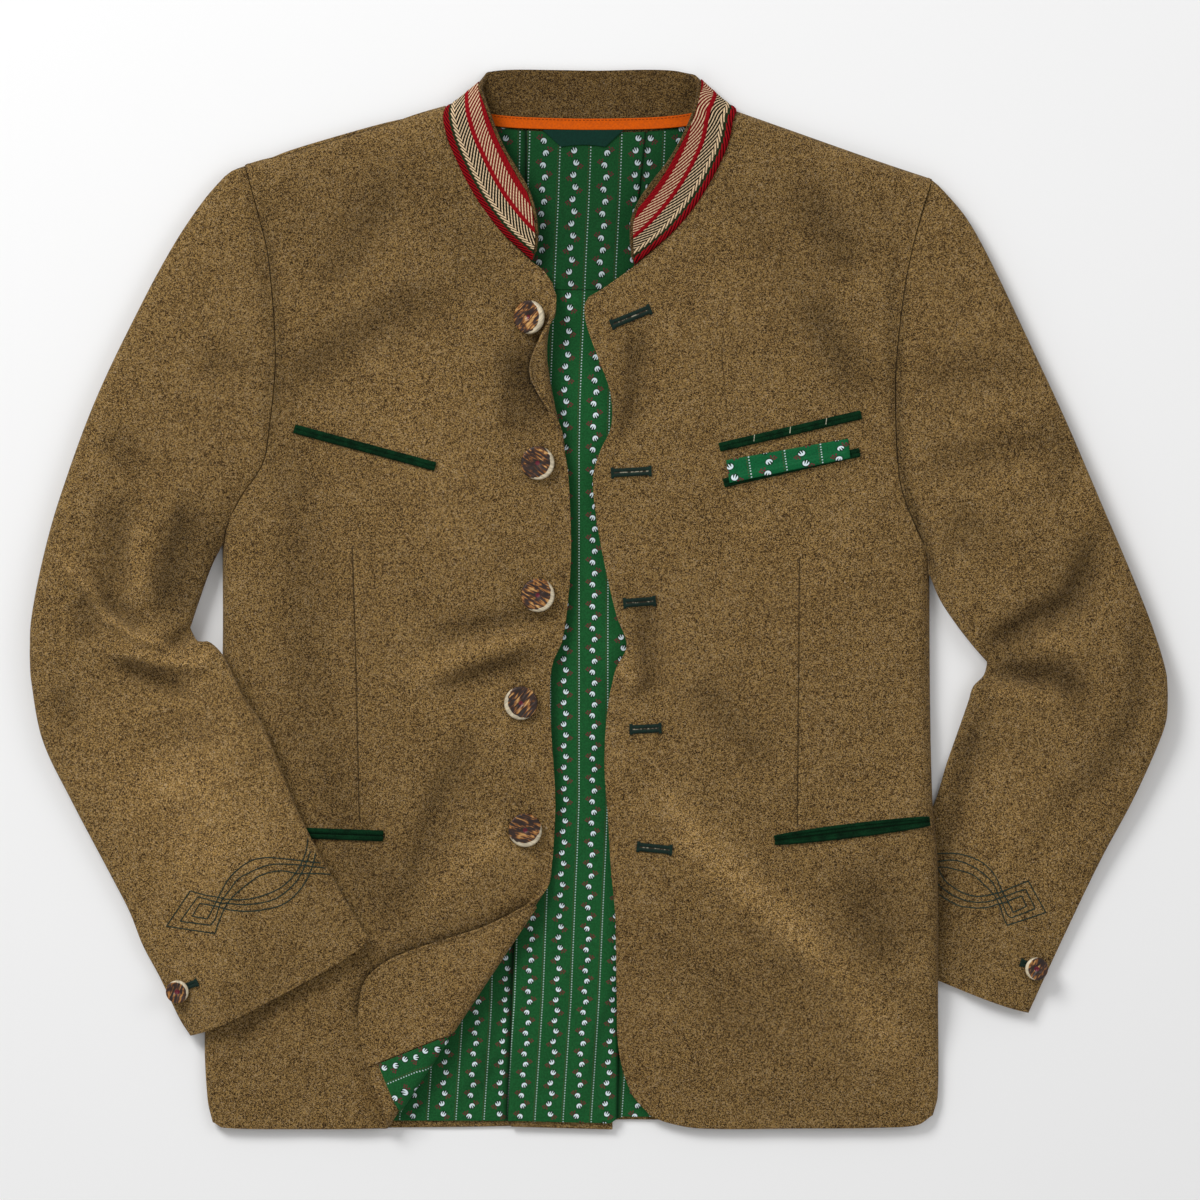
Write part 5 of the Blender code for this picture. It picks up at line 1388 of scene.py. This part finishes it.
def makeThread(name, colour, pale=None):
    # stitched thread; a slit between two rows of stitches shows pale where pale is given
    w = Finish(name, Roughness=0.7, Sheen_Weight=0.05, Specular_IOR_Level=0.2)
    fuzz = w.noise(1300.0)
    tone, height = w.toned(fuzz.ramped(0.35, 0.65), colour, 0.5, 1.6), fuzz
    if pale:
        along, _ = w.flat()
        stitches = (along * (1000.0 * math.tau / 0.8)).sine()
        height = fuzz + stitches * 0.5
        # darker between the stitches: painted shade
        tone = w.mix(stitches.ramped(-1.0, 0.2, 0.45, 0.0), tone, (0.0, 0.0, 0.0, 1.0))
        inside = w.mix(w.noise(420.0).ramped(0.50, 0.62), (0.045, 0.030, 0.016, 1.0), opaque(pale))
        tone = w.mix(w.attribute("slit"), tone, inside)
    return w.show(Base_Color=tone, Roughness=fuzz.ramped(0.3, 0.7, 0.6, 0.8),
                  Normal=w.bump(height, 0.5, 0.0003))


finishes["buttonholeThread"] = makeThread("buttonholeThread", (0.003, 0.018, 0.011), (0.42, 0.38, 0.28))
finishes["embroideryThread"] = makeThread("embroideryThread", (0.012, 0.026, 0.018))
finishes["tackThread"] = makeThread("tackThread", (0.40, 0.40, 0.28))
panelTrees = {"right": treeOf(frontRight), "left": treeOf(frontLeft)}

welts = {
    "rows": {
        # name: panel, from, to, width, extra width in its middle, share of each half that is lip
        "right_chest_welt": ("right", (-213.5, 119.5), (-115, 93), 5.2, 0.0, 1.0),
        "left_chest_welt_upper": ("left", (84, 106.5), (183, 129.3), 5.2, 0.0, 1.0),
        "left_chest_welt_lower": ("left", (87, 81.5), (182, 103), 5.2, 0.0, 1.0),
        "right_hip_welt": ("right", (-206, -163.5), (-151.5, -165.5), 6.5, 0.0, 0.8),
        "left_hip_welt": ("left", (122.5, -168.5), (230.8, -155.0), 5.4, 3.6, 0.36),
    },
    # slit: half width of the painted shade between a welt's lips
    "lip": 1.0, "wall": 0.7, "slit": 0.16,
    "tacks": [(108.2, 113.0), (133.4, 118.6), (158.6, 124.6)], "tackThick": 0.28, "tackRise": 0.15,
}
holes = {
    "rows": {
        "buttonhole_1": ((8, 192), (36, 203.5)), "buttonhole_2": ((8, 88.5), (36.5, 90)),
        "buttonhole_3": ((16.5, -2.7), (39.5, -1)), "buttonhole_4": ((21, -91), (43.5, -90)),
        "buttonhole_5": ((26, -173), (51, -175.5)),
    },
    "cuffs": {"right": ((-289.5, -271.2), (-281.0, -267.6)), "left": ((301, -256), (294.5, -253.9))},
    "width": 5.2, "bar": 2.4, "lip": 0.55, "wall": 0.55, "slit": 0.20,
    "cuffWidth": 4.2, "cuffBar": 2.2, "cuffLip": 0.5, "cuffWall": 0.5,
}


strips = {"clear": 0.15, "edge": 0.2}


def laidStrip(name, node, start, end, trees, finish, wall, shapeOf, cells=(90, 24)):
    # a narrow strip that follows what it lies on; shapeOf gives half width, height and values from
    # shares along and across
    start, end = np.array(start, float), np.array(end, float)
    run = end - start
    length = np.linalg.norm(run)
    side = np.array((-run[1], run[0])) / length
    w, u = np.meshgrid(spread((1.0, cells[1])) * 2 - 1, spread((1.0, cells[0])))
    half, height, values = shapeOf(u, w, length)
    place = start + run * u[..., None] + side * (half * w)[..., None]
    place = np.dstack((place, topsUnder(trees, place) + strips["clear"] + wall + height))
    data = gridOf(place, np.stack((u * length, half * w), -1) * mm, values)
    return addPiece(name, data, finish, node, wall, -1.0, strips["edge"])


def lips(w, middle, half):
    return dome((np.abs(w) - middle) / half)


def makeWelt(name, panel, start, end, width, bow, lipShare):
    def weltShape(u, w, length):
        half = (width + bow * (4 * u * (1 - u)) ** 0.7) / 2
        bulge = lips(w, 1 - lipShare / 2, lipShare / 2)
        ends = smooth(np.minimum(u, 1 - u) * length / 0.8)
        waver = 1 + 0.12 * np.sin(u * length / 5.1) + 0.08 * np.sin(u * length / 2.3 + w)
        return half, welts["lip"] * bulge * waver * (0.5 + 0.5 * ends), {"slit": bell(w, welts["slit"])}

    return laidStrip(name + "_lips", name, start, end, [panelTrees[panel]], "piping", welts["wall"],
                     weltShape)


def makeButtonhole(name, start, end):
    def holeShape(u, w, length):
        bar = smooth((holes["bar"] - np.minimum(u, 1 - u) * length) / 0.8)
        height = holes["lip"] * np.maximum(lips(w, 0.62, 0.38), bar * 0.9 * dome(w))
        return holes["width"] / 2 * (1 + 0.36 * bar), height, {"slit": bell(w, holes["slit"]) * (1 - bar)}

    laidStrip(name + "_stitched", name, start, end, [panelTrees["left"]], "buttonholeThread", holes["wall"],
              holeShape, (70, 20))


def makeCuffHole(name, start, end, tree):
    def holeShape(u, w, length):
        bar = smooth((holes["cuffBar"] - (1 - u) * length) / 0.8)
        height = holes["cuffLip"] * np.maximum(lips(w, 0.6, 0.4), bar * dome(w))
        return holes["cuffWidth"] / 2 * (1 + 0.3 * bar), height, {"slit": w * 0}

    return laidStrip(name + "_stitched", name, start, end, [tree], "buttonholeThread", holes["cuffWall"],
                     holeShape, (24, 14))


square = {
    "corners": [(88.5, 97.5), (174, 112.5), (175.5, 99), (91, 81.5)], "wall": 0.9, "clear": 0.25,
    "pitch": 25.4, "bud": 8.2, "printFrom": 15.8, "printUp": 2.0,
    "crown": 0.7, "fold": (0.5, 0.965, 0.02),  # height, place along and width of the crease at its end
}


def makePocketSquare(below):
    corners = np.array(square["corners"], float)
    v, u = np.meshgrid(spread((1.0, 22)), spread((1.0, 76)))
    a, b = u[..., None], v[..., None]
    place = (corners[3] * (1 - a) + corners[2] * a) * (1 - b) + (corners[0] * (1 - a) + corners[1] * a) * b
    tops = topsUnder(below, place)
    for _ in range(6):
        around = (tops[:-2, 1:-1] + tops[2:, 1:-1] + tops[1:-1, :-2] + tops[1:-1, 2:]) / 4
        tops[1:-1, 1:-1] = np.maximum(tops[1:-1, 1:-1], around)
    rise, foldAt, foldWidth = square["fold"]
    crown = square["crown"] * dome((2 * v - 1) ** 2) + rise * bell(u - foldAt, foldWidth)
    height = tops + square["clear"] + square["wall"] / 2 + crown * smooth(np.minimum(u, 1 - u) / 0.02)
    length, tall = np.linalg.norm(corners[2] - corners[3]), np.linalg.norm(corners[0] - corners[3])
    along = (u * length - square["printFrom"]) * printed["pitch"] / square["pitch"]
    up = (v * tall + square["printUp"]) * printed["bud"] / square["bud"]
    data = gridOf(np.dstack((place, height)), np.stack((along, up), -1) * mm)
    return addPiece("pocket_square_fold", data, "liningBright", "pocket_square",
                    square["wall"], 0.0, 0.3)


# Buttons sliced from horn: bark on the face, a pale cut crescent at one side, and a thread through the middle

buttons = {
    # name: x, y, tilt about the jacket's length, width, depth, way the grooves run, way the crescent faces
    "button_1": (-48, 197.5, -30, 23.5, 4.6, 40, -12), "button_2": (-43, 95.5, -6, 23.5, 4.6, -32, -28),
    "button_3": (-43, 3, -4, 23.5, 4.6, -28, -35), "button_4": (-55, -72.5, 0, 23.5, 4.6, 50, -150),
    "button_5": (-52, -161.5, 0, 23.5, 4.6, -20, -70),
    "right_cuff_button": (-295.5, -274.5, 0, 16.0, 3.8, 70, 40),
    "left_cuff_button": (306, -258.5, 0, 16.0, 3.8, 60, 175),
}
horn = {
    "bark": (0.016, 0.008, 0.005), "groove": (0.040, 0.016, 0.009), "ridge": (0.30, 0.115, 0.025),
    "paintedGlint": (0.62, 0.36, 0.13), "cut": (0.62, 0.53, 0.37), "thread": (0.12, 0.003, 0.014),
    "steps": 72, "dish": 0.7, "barkDepth": 0.55, "crescentShift": 0.30, "crescentSize": 1.03,
    "threadRadius": 1.5, "dimple": (0.9, 1.9), "clear": 0.2, "crescentEdge": 0.5,
    "coarse": (0.16, 0.75, 0.37), "fine": (0.5, 1.9), "wear": (0.8, 0.2, 0.35), "seatRings": (0.3, 0.6, 0.9),
    # profile from the face down: share of the radius, share of the depth
    "rim": [(0.965, 0.90), (0.992, 0.72), (1.0, 0.45), (0.985, 0.2)],
    "underside": [(0.93, 0.12), (0.8, 0.0), (0.4, 0.0), (0.0, 0.0)],  # share of the radius, height
}


def makeHorn():
    w = Finish("horn", Roughness=0.35, Specular_IOR_Level=0.4)
    along, acrossGrain = w.flat()
    grainAt = w.add("ShaderNodeCombineXYZ", {"X": along * 130.0, "Y": acrossGrain * 620.0})
    grain = w.noise(1.0, 3.0, grainAt, Distortion=0.8)
    blotch = w.noise(190.0, 1.0)
    # the top stop of the bark's colours is a painted glint
    bark = w.ramp(grain * 0.75 + blotch * 0.3, [
        (0.42, horn["bark"]), (0.54, horn["groove"]), (0.60, horn["ridge"]), (0.68, horn["paintedGlint"])])
    pale = w.toned(grain.ramped(0.35, 0.7), horn["cut"], 0.72, 1.18)
    colour = w.mix(w.attribute("cut").ramped(0.35, 0.65), bark, pale)
    colour = w.mix(w.attribute("thread").ramped(0.4, 0.7), colour, opaque(horn["thread"]))
    return w.show(Base_Color=colour, Roughness=grain.ramped(0.4, 0.65, 0.5, 0.22),
                  Normal=w.bump(grain, 0.7, 0.0006))


finishes["horn"] = makeHorn()


def makeButton(name, trees):
    x, y, tilt, width, depth, grooves, crescent = buttons[name]
    radius, face = width / 2, depth - horn["dish"]
    profile = [(radius * k / 11, face + 0.5 * (k / 11) ** 2) for k in range(11)]
    profile += [(radius * out, depth * up) for out, up in horn["rim"]]
    profile += [(radius * out, up) for out, up in horn["underside"]]
    data = bmesh.new()
    ring = [data.verts.new((r, 0.0, z)) for r, z in profile]
    edges = [data.edges.new(pair) for pair in zip(ring, ring[1:])]
    bmesh.ops.spin(data, geom=ring + edges, cent=(0, 0, 0), axis=(0, 0, 1), angle=math.tau,
                   steps=horn["steps"], use_merge=True)
    bmesh.ops.remove_doubles(data, verts=data.verts, dist=1e-4)
    bmesh.ops.recalc_face_normals(data, faces=data.faces)
    flat = data.loops.layers.uv.new("cloth")
    cutLayer, threadLayer = data.verts.layers.float.new("cut"), data.verts.layers.float.new("thread")
    turn, way, shift = math.radians(grooves), math.radians(crescent), horn["crescentShift"] * radius

    coarse, fine, wear = horn["coarse"], horn["fine"], horn["wear"]

    def grain(px, py):
        return px * math.cos(turn) + py * math.sin(turn), -px * math.sin(turn) + py * math.cos(turn)

    for vertex in data.verts:
        px, py, pz = vertex.co
        p, q = grain(px, py)
        out = math.hypot(px, py)
        cut = math.hypot(px + shift * math.cos(way), py + shift * math.sin(way))
        cut = (cut - radius * horn["crescentSize"]) / horn["crescentEdge"]
        vertex[cutLayer] = min(1.0, max(0.0, 0.5 + cut))
        vertex[threadLayer] = 1.0 if out < horn["threadRadius"] else 0.0
        if pz > depth * 0.5:
            bark = noise.noise(Vector((p * coarse[0], q * coarse[1], x * coarse[2])))
            bark += 0.5 * noise.noise(Vector((p * fine[0], q * fine[1], y)))
            far = out / radius
            worn = wear[0] * max(0.0, min(1.0, wear[1] + cut * wear[2])) * far
            pz += horn["barkDepth"] * bark * (1 - far**6) * (1 - vertex[cutLayer]) - worn
            pz -= horn["dimple"][0] * math.exp(-((out / horn["dimple"][1]) ** 2))
            vertex.co.z = pz
    for face in data.faces:
        for loop in face.loops:
            px, py, pz = loop.vert.co
            p, q = grain(px, py)
            loop[flat].uv = ((p + x) * mm, (q + y + 0.5 * pz) * mm)
    c, s = math.cos(math.radians(tilt)), math.sin(math.radians(tilt))
    seats = []
    for around in (math.tau * k / 16 for k in range(16)):
        for far in horn["seatRings"]:
            a, b = math.cos(around) * radius * far, math.sin(around) * radius * far
            top = topOf(trees, x + a * c, y + b)
            if top is not None:
                seats.append(top + a * s)
    base = max(seats) + horn["clear"]
    for vertex in data.verts:
        a, b, up = vertex.co
        vertex.co = Vector((x + a * c + up * s, y + b, base - a * s + up * c)) * mm
    addPiece(name + "_horn", data, "horn", name)


# Embroidery on the cuffs: three lines that make a diamond, cross, and run on as a loop

embroidery = {
    # each line: upper strand in to the diamond, its far corner, lower strand out again
    "right": [
        ([(308.3, 838), (306.7, 849.7), (301.7, 863), (295, 873.8), (286.7, 883), (276.7, 889.7),
          (260, 896.3), (243.3, 899.3), (226.7, 898.8), (217.5, 896.7), (205, 894.7), (190.5, 890.7)],
          (166.3, 926.3),
         [(215.5, 933.3), (217.5, 926.3), (221.7, 915.5), (226.7, 904.7), (235, 894.7), (246.7, 884.7),
          (260, 875.5), (273.3, 871.3), (283.3, 870.5), (295, 872.7), (306.7, 873.3), (320, 873.3),
          (332, 874.3)]),
        ([(310.8, 851.3), (305, 866.3), (298.3, 878.8), (288.3, 889.7), (276.7, 898), (263.3, 902.2),
          (245, 904.3), (230, 903.3), (218.3, 902.2), (210, 899.7), (198, 896.7)], (180, 921.3),
         [(210.8, 925), (215.8, 918), (218.3, 909.7), (222.5, 899.7), (230, 889.7), (238.3, 878.8),
          (250, 872.2), (263.3, 866.3), (275, 863.8), (286.7, 863.8), (301.7, 865), (313.3, 866.3),
          (325, 867.7)]),
        ([(315.8, 853), (312.5, 866.3), (306.7, 879.7), (300, 889.7), (290, 899.7), (280, 905.5),
          (266.7, 908.8), (253.3, 910.8), (240, 910.7), (226.7, 908.8), (218.3, 906.3), (210, 904.7),
          (200, 903.3)], (192.5, 916),
         [(207.5, 918.8), (213.3, 908), (216.7, 901.3), (220.8, 893), (226.7, 882.2), (233.3, 873.8),
          (241.7, 866.3), (253.3, 859.7), (266.7, 857.2), (280, 858), (293.3, 859.3), (306.7, 861),
          (320.8, 862.7)]),
    ],
    "left": [
        ([(938, 868.8), (945.8, 881.3), (954.5, 888.1), (963.3, 893.1), (973.3, 896), (982, 896.3),
          (994.5, 893.8), (1002.6, 891.5), (1012, 887.5), (1019.5, 884.4), (1028.3, 881)], (1045.8, 912.5),
         [(1007.4, 925.3), (1004.5, 920), (1002, 912.5), (998.9, 903.8), (995.8, 897.5), (990.8, 891.3),
          (982, 882.5), (973.3, 875), (963.3, 871.5), (954.5, 869.4), (944.5, 867.3), (937, 867.5)]),
        ([(937, 882.5), (940.8, 886.9), (948.3, 892.5), (958.3, 898.1), (968.3, 901.3), (978.3, 902.3),
          (989.5, 901.3), (999.5, 898.1), (1007, 895.6), (1017, 891.9), (1025.8, 889.4)], (1035.1, 908.8),
         [(1011.4, 917.8), (1007.6, 915.6), (1005.1, 910), (1002, 902.5), (998.3, 895), (993.3, 883.8),
          (987, 876.9), (978.3, 870), (968.3, 864.4), (958.3, 861), (948.3, 860.3), (937, 862.3)]),
        ([(939.5, 895), (944.5, 898.1), (952, 902.5), (960.8, 906.3), (969.5, 907.5), (979.5, 908.1),
          (989.5, 906.9), (998.3, 904), (1007, 901.9), (1013.3, 898.8), (1022, 896)], (1026.4, 906.3),
         [(1013.3, 912.5), (1010.8, 907.5), (1007, 900), (1003.3, 893.8), (1000.1, 886.3), (994.5, 875),
          (988.3, 867.5), (979.5, 861), (968.3, 856.3), (957, 853.8), (945.8, 853.5), (937, 853.8)]),
    ],
    "scale": 0.7, "middle": 599.5, "thread": 0.42, "stitch": 1.9, "step": 0.9,
}


def threads(name, lines, trees, thick, finish, rise=0.1):
    # thin cords of thread that lie on a surface, made one mesh
    curve = bpy.data.curves.new(name + "_path", "CURVE")
    curve.dimensions, curve.bevel_depth, curve.bevel_resolution = "3D", thick * mm, 1
    curve.use_fill_caps = True
    for line in lines:
        reach = walked(line)
        at = np.linspace(0, reach[-1], max(3, int(reach[-1] / embroidery["step"])))
        xs, ys = np.interp(at, reach, line[:, 0]), np.interp(at, reach, line[:, 1])
        spots = [(x, y, topOf(trees, x, y)) for x, y in zip(xs, ys)]
        spots = [spot for spot in spots if spot[2] is not None]
        if len(spots) < 3:
            continue
        spline = curve.splines.new("POLY")
        spline.points.add(len(spots) - 1)
        for k, (point, (x, y, z)) in enumerate(zip(spline.points, spots)):
            point.co = (x * mm, y * mm, (z + rise) * mm, 1.0)
            point.radius = 1.0 + 0.22 * math.sin(k * embroidery["step"] * math.tau / embroidery["stitch"])
    holder = addObject(name + "_path", curve)
    bpy.context.view_layer.update()
    mesh = bpy.data.meshes.new_from_object(holder.evaluated_get(bpy.context.evaluated_depsgraph_get()))
    bpy.data.objects.remove(holder, do_unlink=True)
    mesh.name = name
    return addMesh(name, mesh, finish)


def makeEmbroidery(side, tree):
    def inMillimetres(points):
        return (np.array(points, float) - embroidery["middle"]) * embroidery["scale"] * (1, -1)

    def laid(points):
        return Line(inMillimetres(points)).at(spread((1.0, 70)))

    lines = [np.concatenate((laid(inward), inMillimetres([tip]), laid(outward)))
             for inward, tip, outward in embroidery[side]]
    threads("cuff_embroidery_" + side, lines, [tree], embroidery["thread"], "embroideryThread")


weltPieces = {name: makeWelt(name, *row) for name, row in welts["rows"].items()}
for name, ends in holes["rows"].items():
    makeButtonhole(name, *ends)
pocketSquare = makePocketSquare([panelTrees["left"], treeOf(weltPieces["left_chest_welt_lower"])])
tacks = [np.array([(x + 0.3, y + 2.2), (x, y), (x - 0.2, y - 2.2)]) for x, y in welts["tacks"]]
threads("welt_tacks", tacks, [treeOf(weltPieces["left_chest_welt_upper"])], welts["tackThick"],
        "tackThread", welts["tackRise"])
for name in list(buttons)[:5]:
    makeButton(name, [panelTrees["right"]])
for side, sleeve in (("right", sleeveRight), ("left", sleeveLeft)):
    sleeveTree = treeOf(sleeve)
    makeEmbroidery(side, sleeveTree)
    hole = makeCuffHole(side + "_cuff_buttonhole", *holes["cuffs"][side], sleeveTree)
    makeButton(side + "_cuff_button", [sleeveTree, treeOf(hole)])
print("trims made")


# the cloth as it was cut, width and length in metres, and the area of what shows of it, are the flat and area
# entries of the tables above

print("cloth stated")


# Stage, light and camera

stage = {
    "floor": (0.93, 0.93, 0.93), "frameWidth": 840.0, "lens": 400.0, "sensor": 36.0, "centre": (0.35, -0.35),
    "above": 0.012,  # how much farther the camera stands, in metres
    "lights": {  # name: place in metres, power
        "keyLight": ((-1.7, 2.0, 2.2), 76), "fillLight": ((1.8, 0.6, 1.9), 9),
        "lowLight": ((0.1, -1.8, 1.9), 4),
    },
    "lightSize": 1.4, "room": 0.42,
}


def makeFloor():
    data = bmesh.new()
    bmesh.ops.create_grid(data, x_segments=2, y_segments=2, size=4.0)
    mesh = bpy.data.meshes.new("floor")
    data.to_mesh(mesh)
    data.free()
    w = Finish("floorPaint", Roughness=0.9)
    mesh.materials.append(w.show(Base_Color=w.toned(w.noise(3.0), stage["floor"], 0.995, 1.0)))
    floor = addObject("floor", mesh)
    floor.location.z = -0.0005


def addLight(name, place, power):
    light = bpy.data.lights.new(name, "AREA")
    light.shape, light.size, light.energy = "SQUARE", stage["lightSize"], power
    lamp = addObject(name, light)
    lamp.location = place
    lamp.rotation_mode = "QUATERNION"
    lamp.rotation_quaternion = (-Vector(place)).to_track_quat("-Z", "Y")
    lamp.visible_camera = False


makeFloor()
for name, (place, power) in stage["lights"].items():
    addLight(name, place, power)
world = bpy.data.worlds.new("room")
world.use_nodes = True
world.node_tree.nodes["Background"].inputs["Color"].default_value = (1.0, 1.0, 1.0, 1.0)
world.node_tree.nodes["Background"].inputs["Strength"].default_value = stage["room"]
bpy.context.scene.world = world
bpy.context.scene.view_settings.view_transform = "Standard"

camera = bpy.data.cameras.new("camera")
camera.lens, camera.sensor_width = stage["lens"], stage["sensor"]
camera.clip_start, camera.clip_end = 0.1, 60.0
eye = addObject("camera", camera)
distance = stage["frameWidth"] * mm * stage["lens"] / stage["sensor"] + stage["above"]
eye.location = (stage["centre"][0] * mm, stage["centre"][1] * mm, distance)
bpy.context.scene.camera = eye

print("scene made")
